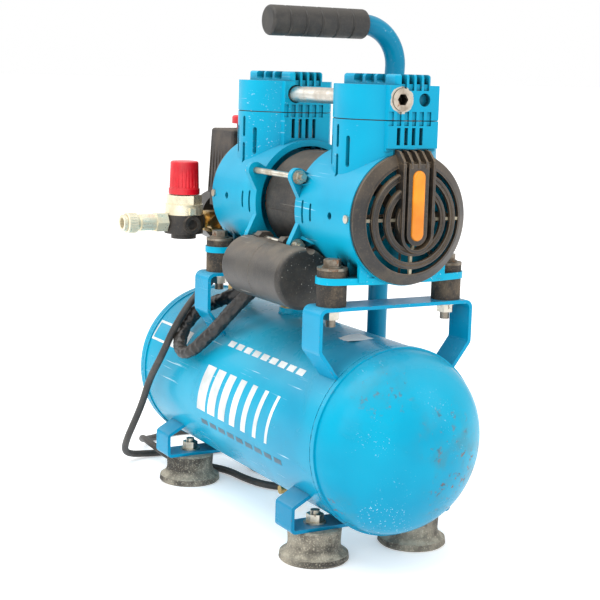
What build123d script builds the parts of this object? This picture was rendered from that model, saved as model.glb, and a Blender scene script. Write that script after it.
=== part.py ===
from build123d import *
import os
from math import atan2, degrees, pi, radians, sqrt, tan

# Oil-free twin-head compressor on a small horizontal air tank.
# Millimetres. +X runs along the tank, +Z is up, Z = 0 is the floor,
# and X = Y = 0 is the middle of the four feet.

os.makedirs("parts", exist_ok=True)

# Air tank
tank_radius = 78.0
tank_wall = 2.0
tank_z = 106.5
seam_front = 167.0
seam_rear = -177.0
dome_depth = 52.0
knuckle_radius = 36.0
crown_radius = 99.125
crown_angle = degrees(atan2(tank_radius - knuckle_radius, crown_radius - dome_depth))
manifold_x = -120.0
check_valve_x = -12.0
tank_top = tank_z + tank_radius
tank_bottom = tank_z - tank_radius
bung_top = tank_top + 5.0

# Feet
foot_x = 125.5
foot_y = 49.2
foot_height = 28.0
foot_flare = 29.8
foot_waist = 22.5
strap_width = 28.0
strap_thickness = 3.0
strap_y = 79.5

# Pump brackets over the tank
pump_x = 49.3
mount_pitch_x = 205.2
mount_y = 55.4
bracket_top = 220.0
bracket_leg_y = 73.5
mounts_x = (pump_x + mount_pitch_x / 2, pump_x - mount_pitch_x / 2)
mount_spots = [(x, y, 0) for x in mounts_x for y in (-mount_y, mount_y)]
foot_spots = [(x, y, 0) for x in (-foot_x, foot_x) for y in (-foot_y, foot_y)]

# Pump: two mirrored units about the plane X = pump_x
shaft_z = 290.4
barrel_radius = 54.0
barrel_bore = 50.4
flange_bore = 48.5
barrel_in = 35.5
barrel_out = 123.5
head_offset = 85.6
tower_radius = 42.6
tower_bore = 38.8
tower_top = 367.6
cover_base = 368.4
cover_top = 395.5
fin_top = 404.0
panel_out = 128.2
panel_half = 23.0
fin_pitch = 7.0
plate_low = 238.0
plate_high = 243.5
bore_radius = 23.5
stroke = 12.0
crank_throw = stroke / 2
bearing_bore = 5.05
shaft_radius = 5.0
bearing_radius = 11.0
rod_spots = [(y, z) for y in (-54.0, 54.0) for z in (318.0, 260.6)]
rod_radius = 2.6
tube_radius = 6.75
tube_y = -12.0
tube_z = 384.4
cover_radius = 53.0

# Capacitor housing beside the motor
housing_y = -60.0
housing_z = 236.0
housing_radius = 26.0
housing_rear = 12.0
housing_front = 115.0
housing_seam = 64.0
clip_spots = (31.0, 74.0)

# Carrying handle
handle_x = 24.0
handle_radius = 9.0
handle_top = 447.0
grip_radius = 13.0

# Pressure switch, manifold, regulator, gauge and outlet
switch_x = -121.0
switch_half_x = 27.0
switch_half_y = 26.0
manifold_z = 259.0
regulator_y = -61.0
regulator_x = -122.0
gauge_x = -158.0
gauge_radius = 25.0
coupler_z = 259.0

# Cords
cord_diameter = 7.0
sleeve_diameter = 11.0


def axis_x(x):
    """Plane across the X axis, whose own axes are Y and Z."""
    return Plane.YZ.offset(x)


def at_x(distance):
    """X of a point of the front unit, from its distance to the pump's middle."""
    return pump_x + distance


def x_cylinder(radius, low, high, y, z, mode=Mode.ADD):
    with Locations(((low + high) / 2, y, z)):
        Cylinder(radius, high - low, rotation=(0, 90, 0), mode=mode)


def y_cylinder(radius, low, high, x, z, mode=Mode.ADD):
    with Locations((x, (low + high) / 2, z)):
        Cylinder(radius, high - low, rotation=(90, 0, 0), mode=mode)


def z_cylinder(radius, low, high, x, y, mode=Mode.ADD):
    with Locations((x, y, (low + high) / 2)):
        Cylinder(radius, high - low, mode=mode)


def block(x, y, z, mode=Mode.ADD):
    """Box between the low and high ends given for each axis."""
    with Locations(((x[0] + x[1]) / 2, (y[0] + y[1]) / 2, (z[0] + z[1]) / 2)):
        Box(x[1] - x[0], y[1] - y[0], z[1] - z[0], mode=mode)


def hexagon(across_flats):
    return across_flats / sqrt(3)


# ---- Tank -------------------------------------------------------------

with BuildPart() as tank_barrel:
    x_cylinder(tank_radius, seam_rear, seam_front, 0, tank_z)
    for seam in (seam_rear + 3.5, seam_front - 3.5):
        x_cylinder(tank_radius + 1.2, seam - 1.5, seam + 1.5, 0, tank_z)
    for bung_x in (manifold_x, check_valve_x):
        z_cylinder(12.0, tank_top - 6, bung_top, bung_x, 0)
    z_cylinder(11.0, tank_bottom - 3.5, tank_bottom + 6, 0, 0)
    x_cylinder(tank_radius - tank_wall, seam_rear, seam_front, 0, tank_z, Mode.SUBTRACT)
    for bung_x in (manifold_x, check_valve_x):
        z_cylinder(6.5, tank_top - 8, bung_top, bung_x, 0, Mode.SUBTRACT)
    z_cylinder(5.0, tank_bottom - 4, tank_bottom + 8, 0, 0, Mode.SUBTRACT)

with BuildPart() as tank_domes:
    with BuildSketch(Plane.XZ):
        with BuildLine():
            for inset in (0, tank_wall):
                knuckle = CenterArc(
                    (seam_front, tank_z + tank_radius - knuckle_radius),
                    knuckle_radius - inset,
                    crown_angle,
                    90 - crown_angle,
                )
                crown = CenterArc(
                    (seam_front + dome_depth - crown_radius, tank_z),
                    crown_radius - inset,
                    0,
                    crown_angle,
                )
            Line((seam_front, tank_z + tank_radius), knuckle @ 1)
            Line((seam_front + dome_depth, tank_z), crown @ 0)
        make_face()
    revolve(axis=Axis((0, 0, tank_z), (1, 0, 0)))
    with BuildSketch(axis_x(seam_front)):
        with Locations((0, tank_z)):
            Circle(tank_radius + 1.4)
            Circle(tank_radius - 1.8, mode=Mode.SUBTRACT)
    extrude(amount=4.5)
    mirror(about=axis_x((seam_front + seam_rear) / 2))

with BuildPart() as pump_brackets:
    for mount_x in mounts_x:
        with BuildSketch(axis_x(mount_x - strap_width / 2)):
            with BuildLine():
                FilletPolyline(
                    (-53.0, 157.0),
                    (-bracket_leg_y, 184.0),
                    (-bracket_leg_y, bracket_top),
                    (bracket_leg_y, bracket_top),
                    (bracket_leg_y, 184.0),
                    (53.0, 157.0),
                    radius=7.0,
                )
                offset(amount=strap_thickness, side=Side.RIGHT)
            make_face()
        extrude(amount=strap_width)
    x_cylinder(tank_radius + 0.02, seam_rear, seam_front, 0, tank_z, Mode.SUBTRACT)
    x_cylinder(tank_radius + 1.25, seam_front - 5.2, seam_front, 0, tank_z, Mode.SUBTRACT)
    for x, y, _ in mount_spots:
        z_cylinder(4.3, 210, 225, x, y, Mode.SUBTRACT)

with BuildPart() as foot_brackets:
    for strap_x in (-foot_x, foot_x):
        for side in (-1, 1):
            with BuildSketch(axis_x(strap_x - strap_width / 2)):
                with BuildLine():
                    FilletPolyline(
                        (side * 60.0, 62.0),
                        (side * strap_y, 51.0),
                        (side * strap_y, foot_height),
                        (side * 14.0, foot_height),
                        radius=4.5,
                    )
                    offset(
                        amount=strap_thickness,
                        side=Side.LEFT if side < 0 else Side.RIGHT,
                    )
                make_face()
            extrude(amount=strap_width)
    x_cylinder(tank_radius + 0.02, seam_rear, seam_front, 0, tank_z, Mode.SUBTRACT)
    for x, y, _ in foot_spots:
        z_cylinder(4.3, 20, 36, x, y, Mode.SUBTRACT)

with BuildPart() as rubber_feet:
    for x, y, _ in foot_spots:
        with BuildSketch(Plane.XZ.offset(-y)):
            with BuildLine():
                Line((x + 9.0, 0), (x + foot_flare - 1.5, 0))
                Line((x + foot_flare - 1.5, 0), (x + foot_flare, 1.5))
                Line((x + foot_flare, 1.5), (x + foot_flare - 0.6, 6.0))
                ThreePointArc(
                    (x + foot_flare - 0.6, 6.0),
                    (x + foot_waist + 1.8, 9.5),
                    (x + foot_waist, 15.0),
                )
                Line((x + foot_waist, 15.0), (x + foot_waist + 0.6, foot_height - 1.5))
                Line(
                    (x + foot_waist + 0.6, foot_height - 1.5),
                    (x + foot_waist - 0.9, foot_height),
                )
                Line((x + foot_waist - 0.9, foot_height), (x + 4.1, foot_height))
                Line((x + 4.1, foot_height), (x + 4.1, 7.0))
                Line((x + 4.1, 7.0), (x + 9.0, 7.0))
                Line((x + 9.0, 7.0), (x + 9.0, 0))
            make_face()
        revolve(axis=Axis((x, y, 0), (0, 0, 1)))

with BuildPart() as foot_bolts:
    for x, y, _ in foot_spots:
        with BuildSketch(Plane.XY.offset(1.7)):
            with Locations((x, y)):
                RegularPolygon(hexagon(13.0), 6)
        extrude(amount=5.3)
        z_cylinder(4.0, 7.0, 42.2, x, y)

with BuildPart() as drain_valve_body:
    with BuildSketch(Plane.XY.offset(14.0)):
        RegularPolygon(hexagon(14.0), 6)
    extrude(amount=11.0)
    z_cylinder(4.9, 25.0, 32.0, 0, 0)
    y_cylinder(4.0, -15.0, 0.0, 0, 19.5)
    z_cylinder(3.0, 14.0, 21.0, 0, 0, Mode.SUBTRACT)

with BuildPart() as drain_valve_knob:
    z_cylinder(2.9, 8.0, 20.5, 0, 0)
    z_cylinder(8.5, 8.0, 13.6, 0, 0)
    with Locations(Plane.XY.offset(10.8)):
        with PolarLocations(9.0, 8):
            Cylinder(1.6, 5.6, mode=Mode.SUBTRACT)

# ---- Handle -----------------------------------------------------------

with BuildPart() as handle_tube:
    with BuildLine():
        handle_path = FilletPolyline(
            (handle_x, 70.0, 124.0),
            (handle_x, 70.0, 228.0),
            (handle_x, 81.5, handle_top),
            (handle_x, -46.0, handle_top),
            radius=[60.0, 35.5],
        )
    with BuildSketch(Plane(handle_path @ 0, z_dir=handle_path % 0)):
        Circle(handle_radius)
        Circle(handle_radius - 1.6, mode=Mode.SUBTRACT)
    sweep()
    x_cylinder(tank_radius + 0.02, seam_rear, seam_front, 0, tank_z, Mode.SUBTRACT)

with BuildPart() as handle_grip:
    y_cylinder(grip_radius, -51.5, 45.0, handle_x, handle_top)
    fillet(handle_grip.edges().filter_by(GeomType.CIRCLE), radius=3.0)
    for groove in range(5):
        with Locations(Plane((handle_x, -35.0 + 15.6 * groove, handle_top), z_dir=(0, 1, 0))):
            Torus(grip_radius + 0.6, 1.6, mode=Mode.SUBTRACT)
    y_cylinder(handle_radius, -46.0, 50.0, handle_x, handle_top, Mode.SUBTRACT)

# ---- Vibration mounts -------------------------------------------------

with BuildPart() as mount_rubbers:
    for x, y, _ in mount_spots:
        z_cylinder(12.2, bracket_top, plate_low, x, y)
        z_cylinder(12.2, plate_high, 249.0, x, y)
        z_cylinder(4.05, bracket_top - 1, 250.0, x, y, Mode.SUBTRACT)

with BuildPart() as mount_bolts:
    # A large washer on each upper rubber, and the flanged bolt through it
    for x, y, _ in mount_spots:
        z_cylinder(12.4, 249.0, 251.0, x, y)
        z_cylinder(4.05, 248.0, 252.0, x, y, Mode.SUBTRACT)
    for x, y, _ in mount_spots:
        z_cylinder(8.4, 251.0, 252.4, x, y)
        with BuildSketch(Plane.XY.offset(252.4)):
            with Locations((x, y)):
                RegularPolygon(hexagon(12.6), 6, rotation=12)
        extrude(amount=5.2)
        z_cylinder(4.0, 203.0, 251.0, x, y)

# ---- Pump castings ----------------------------------------------------

slot_width = 3.3
panel_slots = [fin_pitch * n for n in (-2, -1, 0, 1)]
small_slots = [fin_pitch * n for n in (-3, -2, -1, 0, 1, 2)]
# Slots on each side of the tower: distance from the pump's middle, and its two ends in Z.
tower_slots = [(83.2, 321.5, 340.0), (83.2, 345.0, 363.5), (96.7, 330.0, 355.0), (68.7, 330.0, 354.0)]
barrel_slots = [(48.2, 280.0, 299.5), (61.5, 283.0, 298.0)]

with BuildPart() as crankcase_front:
    x_cylinder(barrel_radius, at_x(barrel_in), at_x(barrel_out), 0, shaft_z)
    z_cylinder(tower_radius, shaft_z, tower_top, at_x(head_offset), 0)
    block((at_x(43.0), at_x(head_offset)), (-panel_half, panel_half), (330.0, tower_top))
    block((at_x(head_offset), at_x(124.6)), (-panel_half, panel_half), (343.8, tower_top))
    block((at_x(120.0), at_x(panel_out)), (-panel_half, panel_half), (346.4, tower_top))
    # Foot plate with a rounded arm to each rubber mount
    with BuildSketch(Plane.XY.offset(plate_low)):
        with Locations((mounts_x[0], -mount_y), (mounts_x[0], mount_y)):
            Circle(13.4)
        with Locations((mounts_x[0], 0)):
            Rectangle(38.0, 56.0)
        make_hull()
    extrude(amount=plate_high - plate_low)
    # Upright ribs between the plate and the barrel
    for rib in (87.0, 103.5, 119.0):
        with BuildSketch(axis_x(at_x(rib) - 1.7)):
            Polygon(
                (-41.0, 240.0),
                (-41.0, 254.0),
                (-49.0, 268.0),
                (49.0, 268.0),
                (41.0, 254.0),
                (41.0, 240.0),
                align=None,
            )
        extrude(amount=3.4)
    # Ears for the tie rods, each with a sloping web behind it
    for y, z in rod_spots:
        with BuildSketch(axis_x(at_x(barrel_in))):
            with Locations((y, z)):
                Circle(7.2)
            with Locations((y * 0.78, shaft_z + (z - shaft_z) * 0.55)):
                Circle(12.0)
            make_hull()
        extrude(amount=6.0)
        with BuildSketch(axis_x(at_x(barrel_in + 6.0))):
            with Locations((y * 0.84, shaft_z + (z - shaft_z) * 0.86)):
                Circle(6.0)
        extrude(amount=24.0, taper=13)
    # Room for the fan cover at the end, and for the nuts at the ears
    x_cylinder(cover_radius + 0.15, at_x(barrel_out), at_x(131.0), 0, shaft_z, Mode.SUBTRACT)
    block((at_x(124.6), at_x(131.0)), (-16.5, 16.5), (338.0, 345.8), Mode.SUBTRACT)
    for y, z in rod_spots:
        x_cylinder(6.6, at_x(barrel_in + 6.0), at_x(barrel_in + 24.0), y, z, Mode.SUBTRACT)
    # Hollow inside
    x_cylinder(flange_bore, at_x(barrel_in), at_x(46.0), 0, shaft_z, Mode.SUBTRACT)
    x_cylinder(barrel_bore, at_x(44.0), at_x(barrel_out), 0, shaft_z, Mode.SUBTRACT)
    z_cylinder(tower_bore, shaft_z, tower_top, at_x(head_offset), 0, Mode.SUBTRACT)
    # Two bulkheads that carry the bearings
    for low, boss_low, boss_high in ((70.0, 66.0, 75.0), (101.0, 100.0, 107.0)):
        x_cylinder(barrel_bore + 0.5, at_x(low), at_x(low + 4), 0, shaft_z)
        x_cylinder(15.0, at_x(boss_low), at_x(boss_high), 0, shaft_z)
        x_cylinder(bearing_radius, at_x(boss_low), at_x(boss_high), 0, shaft_z, Mode.SUBTRACT)
    z_cylinder(25.0, 335.0, 346.0, at_x(head_offset), 0, Mode.SUBTRACT)
    # Cooling slots in the inner and outer panels, and channels at the joint line
    for y in panel_slots:
        slot_y = (y - slot_width / 2, y + slot_width / 2)
        block((at_x(42.0), at_x(52.0)), slot_y, (345.5, 362.5), Mode.SUBTRACT)
        block((at_x(119.0), at_x(129.0)), slot_y, (349.0, 362.5), Mode.SUBTRACT)
    for y in small_slots:
        for low in (42.0, 126.8):
            block((at_x(low), at_x(low + 2.4)), (y - 2.0, y + 2.0), (364.0, tower_top), Mode.SUBTRACT)
    # Upright slots round the sides
    for side in (-1, 1):
        for distance, low, high in tower_slots:
            with BuildSketch(Plane.XZ.offset(-side * 48.0)):
                with Locations((at_x(distance), (low + high) / 2)):
                    SlotOverall(high - low, 4.0, rotation=90)
            extrude(amount=side * 22.0, mode=Mode.SUBTRACT)
        for distance, low, high in barrel_slots:
            with BuildSketch(Plane.XZ.offset(-side * 58.0)):
                with Locations((at_x(distance), (low + high) / 2)):
                    SlotOverall(high - low, 3.2, rotation=90)
            extrude(amount=side * 12.0, mode=Mode.SUBTRACT)
        low, high = sorted((side * 46.0, side * 58.0))
        y_cylinder(3.0, low, high, at_x(93.1), 290.9, Mode.SUBTRACT)
        y_cylinder(1.75, low, high, at_x(119.6), 290.9, Mode.SUBTRACT)
        low, high = sorted((side * 53.2, side * 58.0))
        y_cylinder(3.35, low, high, at_x(119.6), 290.9, Mode.SUBTRACT)
    # Holes for the tie rods and the mount bolts
    for y, z in rod_spots:
        x_cylinder(rod_radius + 0.1, at_x(barrel_in - 1), at_x(barrel_in + 34), y, z, Mode.SUBTRACT)
    for y in (-mount_y, mount_y):
        z_cylinder(4.1, plate_low - 1, plate_high + 1, mounts_x[0], y, Mode.SUBTRACT)

with BuildPart() as head_cover_front:
    z_cylinder(tower_radius, cover_base, cover_top, at_x(head_offset), 0)
    block((at_x(43.0), at_x(panel_out)), (-panel_half, panel_half), (cover_base, cover_top))
    with BuildSketch(Plane.XY.offset(cover_top)):
        with Locations((at_x(head_offset), 0)):
            RectangleRounded(85.0, 33.0, 5.0)
    extrude(amount=fin_top - cover_top)
    fillet(head_cover_front.faces().sort_by(Axis.Z)[-1].edges(), radius=2.4)
    # Grooves between the fins, running down over both panels
    for y in [fin_pitch * n for n in (-1.5, -0.5, 0.5, 1.5)]:
        block((at_x(41.0), at_x(56.5)), (y - 2.4, y + 2.4), (396.5, 405.0), Mode.SUBTRACT)
        block((at_x(114.7), at_x(129.0)), (y - 2.4, y + 2.4), (396.5, 405.0), Mode.SUBTRACT)
        block((at_x(41.0), at_x(45.0)), (y - 2.4, y + 2.4), (391.5, 397.0), Mode.SUBTRACT)
        block((at_x(126.4), at_x(129.0)), (y - 2.4, y + 2.4), (391.5, 397.0), Mode.SUBTRACT)
    # Pockets between the cross ribs
    for side in (-1, 1):
        for distance in (head_offset - 16.5, head_offset + 1.0, head_offset + 18.0):
            with BuildSketch(Plane.XZ.offset(-side * 9.5)):
                with Locations((at_x(distance), 401.6)):
                    RectangleRounded(13.5, 9.6, 2.4)
            extrude(amount=-side * 10.0, mode=Mode.SUBTRACT)
    for y in small_slots:
        for low in (42.0, 126.8):
            block((at_x(low), at_x(low + 2.4)), (y - 2.0, y + 2.0), (cover_base, 375.0), Mode.SUBTRACT)
    z_cylinder(30.0, cover_base, 376.5, at_x(head_offset), 0, Mode.SUBTRACT)
    # Port for the link pipe on the inner panel, port and blind recess on the outer one
    x_cylinder(7.9, at_x(42.0), at_x(50.0), tube_y, tube_z, Mode.SUBTRACT)
    x_cylinder(8.9, at_x(118.0), at_x(129.0), tube_y, tube_z, Mode.SUBTRACT)
    x_cylinder(5.2, at_x(123.0), at_x(129.0), 9.3, 384.4, Mode.SUBTRACT)
    x_cylinder(3.0, at_x(49.0), at_x(119.0), tube_y, tube_z, Mode.SUBTRACT)

with BuildPart() as fan_cover_front:
    dome_front = at_x(138.0)
    with BuildSketch(Plane.XZ):
        with BuildLine():
            start = (at_x(barrel_out), shaft_z + cover_radius)
            Polyline(start, (at_x(126.8), shaft_z + cover_radius), (at_x(131.6), shaft_z + 45.6))
            ThreePointArc(
                (at_x(131.6), shaft_z + 45.6),
                (at_x(136.3), shaft_z + 24.0),
                (dome_front, shaft_z),
            )
            Line((dome_front, shaft_z), (dome_front - 3.0, shaft_z))
            ThreePointArc(
                (dome_front - 3.0, shaft_z),
                (at_x(133.4), shaft_z + 24.0),
                (at_x(128.8), shaft_z + 44.0),
            )
            Polyline(
                (at_x(128.8), shaft_z + 44.0),
                (at_x(125.2), shaft_z + barrel_bore),
                (at_x(barrel_out), shaft_z + barrel_bore),
                start,
            )
        make_face()
    revolve(axis=Axis((0, 0, shaft_z), (1, 0, 0)))
    for outer_r, inner_r in ((43.6, 39.4), (34.0, 28.6), (23.6, 18.0)):
        with BuildSketch(axis_x(at_x(120.0))):
            with Locations((0, shaft_z)):
                Circle(outer_r)
                Circle(inner_r, mode=Mode.SUBTRACT)
        extrude(amount=24.0, mode=Mode.SUBTRACT)
    # Raised beads round the two rings
    for bead_r, bead_x in ((37.6, 133.7), (26.8, 135.8)):
        with Locations(Plane((at_x(bead_x), 0, shaft_z), z_dir=(1, 0, 0))):
            Torus(bead_r, 1.5)
    # U-shaped frame, open at the top, round the coloured insert
    bar_low = 279.75
    frame_top = 335.0
    for half, low, high, mode in (
        (15.2, 129.5, 139.6, Mode.ADD),
        (12.8, 122.0, 145.0, Mode.SUBTRACT),
        (9.4, 131.5, 138.6, Mode.ADD),
    ):
        with BuildSketch(axis_x(at_x(low))):
            with Locations((0, bar_low)):
                Circle(half)
            with Locations((0, (bar_low + frame_top) / 2)):
                Rectangle(2 * half, frame_top - bar_low)
        extrude(amount=high - low, mode=mode)
    with BuildSketch(axis_x(at_x(135.4))):
        with Locations((0, 302.0)):
            SlotOverall(56.0, 11.6, rotation=90)
    extrude(amount=5.0, mode=Mode.SUBTRACT)
    # Fins that fold over the top of the rim
    for y in [fin_pitch * n for n in (-2, -1, 0, 1, 2)]:
        with BuildSketch(Plane.XZ.offset(-y - 0.9)):
            Polygon(
                (at_x(124.9), 342.6),
                (at_x(125.6), 345.2),
                (at_x(131.5), 344.4),
                (at_x(138.8), 337.0),
                (at_x(139.4), 331.6),
                (at_x(131.0), 331.6),
                (at_x(128.0), 337.0),
                align=None,
            )
        extrude(amount=1.8)
    block((at_x(128.6), at_x(135.4)), (-15.0, 15.0), (331.8, 336.2))
    # Thin spokes behind the rings
    for side in (-1, 1):
        block((at_x(129.0), at_x(131.0)), sorted((side * 14.0, side * 45.0)), (289.4, 291.4))
        block((at_x(131.5), at_x(133.5)), sorted((side * 9.0, side * 13.6)), (289.4, 291.4))
        block((at_x(131.5), at_x(133.5)), sorted((side * 9.0, side * 13.6)), (316.4, 318.4))
    block((at_x(129.0), at_x(131.0)), (-1.0, 1.0), (245.6, 266.0))
    block((at_x(131.5), at_x(133.5)), (-1.0, 1.0), (265.0, 271.5))

mirrored = {
    "crankcase": crankcase_front,
    "head_cover": head_cover_front,
    "fan_cover": fan_cover_front,
}
rear_units = {}
for unit_name, front_unit in mirrored.items():
    with BuildPart() as rear_unit:
        mirror(front_unit.part, about=axis_x(pump_x))
    rear_units[unit_name] = rear_unit

with BuildPart() as accent_inserts:
    with BuildSketch(axis_x(at_x(135.6))):
        with Locations((0, 302.0)):
            SlotOverall(55.6, 11.2, rotation=90)
    extrude(amount=5.2)
    fillet(accent_inserts.faces().sort_by(Axis.X)[-1].edges(), radius=2.2)
    mirror(about=axis_x(pump_x))

with BuildPart() as valve_plates:
    z_cylinder(41.8, tower_top, cover_base, at_x(head_offset), 0)
    mirror(about=axis_x(pump_x))

with BuildPart() as cylinder_liners:
    z_cylinder(27.0, 341.8, tower_top, at_x(head_offset), 0)
    z_cylinder(38.6, 364.6, tower_top, at_x(head_offset), 0)
    z_cylinder(bore_radius, 337.0, tower_top, at_x(head_offset), 0, Mode.SUBTRACT)
    mirror(about=axis_x(pump_x))

with BuildPart() as port_plugs:
    x_cylinder(8.8, at_x(118.2), at_x(129.6), tube_y, tube_z)
    with BuildSketch(axis_x(at_x(121.0))):
        with Locations((tube_y, tube_z)):
            RegularPolygon(hexagon(8.4), 6)
    extrude(amount=10.0, mode=Mode.SUBTRACT)
    mirror(about=axis_x(pump_x))

with BuildPart() as link_pipe:
    x_cylinder(tube_radius, pump_x - 49.5, pump_x + 49.5, tube_y, tube_z)
    x_cylinder(tube_radius - 1.4, pump_x - 50, pump_x + 50, tube_y, tube_z, Mode.SUBTRACT)

# ---- Motor ------------------------------------------------------------

with BuildPart() as motor_stator:
    x_cylinder(46.0, pump_x - 29.0, pump_x + 29.0, 0, shaft_z)
    x_cylinder(44.6, pump_x - 34.0, pump_x + 34.0, 0, shaft_z)
    for angle in range(0, 360, 90):
        with Locations(Plane((pump_x, 0, shaft_z), z_dir=(1, 0, 0))):
            with Locations(Location((0, 0, 0), (0, 0, angle + 4))):
                with Locations((46.6, 0, 0)):
                    Box(2.4, 3.0, 60.0, mode=Mode.SUBTRACT)
    x_cylinder(27.6, pump_x - 34.5, pump_x + 34.5, 0, shaft_z, Mode.SUBTRACT)
    for side in (-1, 1):
        low = pump_x + min(side * 29.0, side * 35.0)
        x_cylinder(41.2, low, low + 6.0, 0, shaft_z, Mode.SUBTRACT)

with BuildPart() as stator_windings:
    for side in (-1, 1):
        middle = (pump_x + side * 35.4, 0, shaft_z)
        with BuildSketch(axis_x(pump_x + side * 35.4 - 6.2)):
            with Locations((0, shaft_z)):
                Circle(41.0)
                Circle(29.4, mode=Mode.SUBTRACT)
        extrude(amount=12.4)
        for turn in range(12):
            with Locations(Plane(middle, z_dir=(1, 0, 0))):
                with Locations(Location((0, 0, 0), (0, 0, 30.0 * turn))):
                    with Locations((41.0, 0, 0)):
                        Box(2.6, 2.4, 14.0, mode=Mode.SUBTRACT)

with BuildPart() as shaft_bearings:
    for side in (-1, 1):
        for low, high in ((66.5, 74.5), (100.2, 106.8)):
            x_cylinder(
                bearing_radius,
                pump_x + min(side * low, side * high),
                pump_x + max(side * low, side * high),
                0,
                shaft_z,
            )
    x_cylinder(bearing_bore, pump_x - 110, pump_x + 110, 0, shaft_z, Mode.SUBTRACT)

with BuildPart() as motor_rotor:
    x_cylinder(27.0, pump_x - 29.0, pump_x + 29.0, 0, shaft_z)
    x_cylinder(shaft_radius, pump_x - 122.0, pump_x + 122.0, 0, shaft_z)
    for side in (-1, 1):
        x_cylinder(
            12.0,
            pump_x + min(side * 80.6, side * 90.6),
            pump_x + max(side * 80.6, side * 90.6),
            side * crank_throw,
            shaft_z,
        )
    # Counterweights beside the eccentrics
    for side in (-1, 1):
        low = pump_x + min(side * 76.4, side * 79.8)
        with BuildSketch(axis_x(low)):
            with Locations((0, shaft_z)):
                Circle(22.0)
            with Locations((side * 16.0, shaft_z)):
                Rectangle(20.0, 46.0, mode=Mode.SUBTRACT)
            with Locations((0, shaft_z)):
                Circle(8.0)
                Circle(shaft_radius, mode=Mode.SUBTRACT)
        extrude(amount=3.4)

with BuildPart() as cooling_fans:
    for side in (-1, 1):
        fan_x = pump_x + side * 115.0
        x_cylinder(12.0, fan_x - 5.5, fan_x + 5.5, 0, shaft_z)
        with Locations(Plane((fan_x, 0, shaft_z), z_dir=(1, 0, 0))):
            with PolarLocations(28.0, 8):
                Box(36.0, 1.8, 10.5, rotation=(side * 32.0, 0, 0))
        x_cylinder(shaft_radius, fan_x - 6, fan_x + 6, 0, shaft_z, Mode.SUBTRACT)

pistons = {}
for unit_name, side in (("front", 1), ("rear", -1)):
    head_x = pump_x + side * head_offset
    with BuildPart() as piston:
        z_cylinder(bore_radius - 0.05, 348.0, 353.5, head_x, 0)
        z_cylinder(18.0, 344.5, 348.0, head_x, 0)
        block((head_x - 5, head_x + 5), (-7, 7), (319.0, 345.0))
        x_cylinder(31.0, head_x - 4.8, head_x + 4.8, 0, shaft_z)
        x_cylinder(25.5, head_x - 6, head_x + 6, 0, shaft_z, Mode.SUBTRACT)
    pistons[unit_name] = piston

with BuildPart() as tie_rods:
    for y, z in rod_spots:
        x_cylinder(rod_radius, pump_x - 50.0, pump_x + 50.0, y, z)

with BuildPart() as hex_nuts:
    # On the feet, under the pump brackets, and at both ends of each tie rod
    for x, y, _ in foot_spots:
        z_cylinder(9.5, 31.0, 32.6, x, y)
        with BuildSketch(Plane.XY.offset(32.6)):
            with Locations((x, y)):
                RegularPolygon(hexagon(13.0), 6)
        extrude(amount=6.4)
        z_cylinder(4.0, 30.0, 40.0, x, y, Mode.SUBTRACT)
    for x, y, _ in mount_spots:
        z_cylinder(9.0, 215.4, 217.0, x, y)
        with BuildSketch(Plane.XY.offset(209.0)):
            with Locations((x, y)):
                RegularPolygon(hexagon(12.6), 6, rotation=20)
        extrude(amount=6.4)
        z_cylinder(4.0, 208.0, 218.0, x, y, Mode.SUBTRACT)
    for side in (-1, 1):
        for y, z in rod_spots:
            face = pump_x + side * (barrel_in + 6.0)
            x_cylinder(6.0, min(face, face + side * 1.4), max(face, face + side * 1.4), y, z)
            low = min(face + side * 1.4, face + side * 5.6)
            with BuildSketch(axis_x(low)):
                with Locations((y, z)):
                    RegularPolygon(hexagon(8.6), 6, rotation=15)
            extrude(amount=4.2)
            x_cylinder(rod_radius, low - 2, low + 6, y, z, Mode.SUBTRACT)

with BuildPart() as barrel_screws:
    for side in (-1, 1):
        low, high = sorted((side * 53.3, side * 55.4))
        y_cylinder(3.3, low, high, at_x(119.6), 290.9)
        low, high = sorted((side * 48.6, side * 54.0))
        y_cylinder(1.7, low, high, at_x(119.6), 290.9)
    mirror(about=axis_x(pump_x))

# ---- Capacitor and its housing -----------------------------------------

ear_clearance = 8.6
housings = {}
for half_name, low, high in (
    ("rear", housing_rear, housing_seam - 0.2),
    ("front", housing_seam + 0.2, housing_front),
):
    closed_end = housing_rear if half_name == "rear" else housing_front
    with BuildPart() as half:
        x_cylinder(housing_radius, low, high, housing_y, housing_z)
        end_face = half.faces().sort_by(Axis.X)[0 if half_name == "rear" else -1]
        fillet(end_face.edges(), radius=4.0)
        # The hollow has a flat roof, under the notches for the ears and clips
        with BuildSketch(axis_x(housing_rear + 2.5)):
            with Locations((housing_y, housing_z)):
                Circle(housing_radius - 2.4)
            with Locations((housing_y, 262.0)):
                Rectangle(60.0, 28.0, mode=Mode.SUBTRACT)
        extrude(amount=housing_front - housing_rear - 5.0, mode=Mode.SUBTRACT)
        for ear_x in (pump_x - 38.5, pump_x + 38.5):
            x_cylinder(ear_clearance, ear_x - 9.5, ear_x + 9.5, -54.0, 260.6, Mode.SUBTRACT)
        x_cylinder(4.2, housing_rear, housing_front, -54.0, 260.6, Mode.SUBTRACT)
        for clip_x in clip_spots:
            block((clip_x - 4.7, clip_x + 4.7), (-62.2, -45.8), (253.6, 270.0), Mode.SUBTRACT)
    housings[half_name] = half

with BuildPart() as capacitor:
    x_cylinder(12.8, 24.0, 100.0, housing_y, 233.0)

with BuildPart() as capacitor_clips:
    for clip_x in clip_spots:
        block((clip_x - 4.5, clip_x + 4.5), (-61.0, -47.0), (253.8, 266.2))
    chamfer(capacitor_clips.edges().filter_by(Axis.X), length=3.0)
    x_cylinder(rod_radius + 0.05, 20.0, 90.0, -54.0, 260.6, Mode.SUBTRACT)

# ---- Air path from the pump to the tank ---------------------------------

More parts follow.
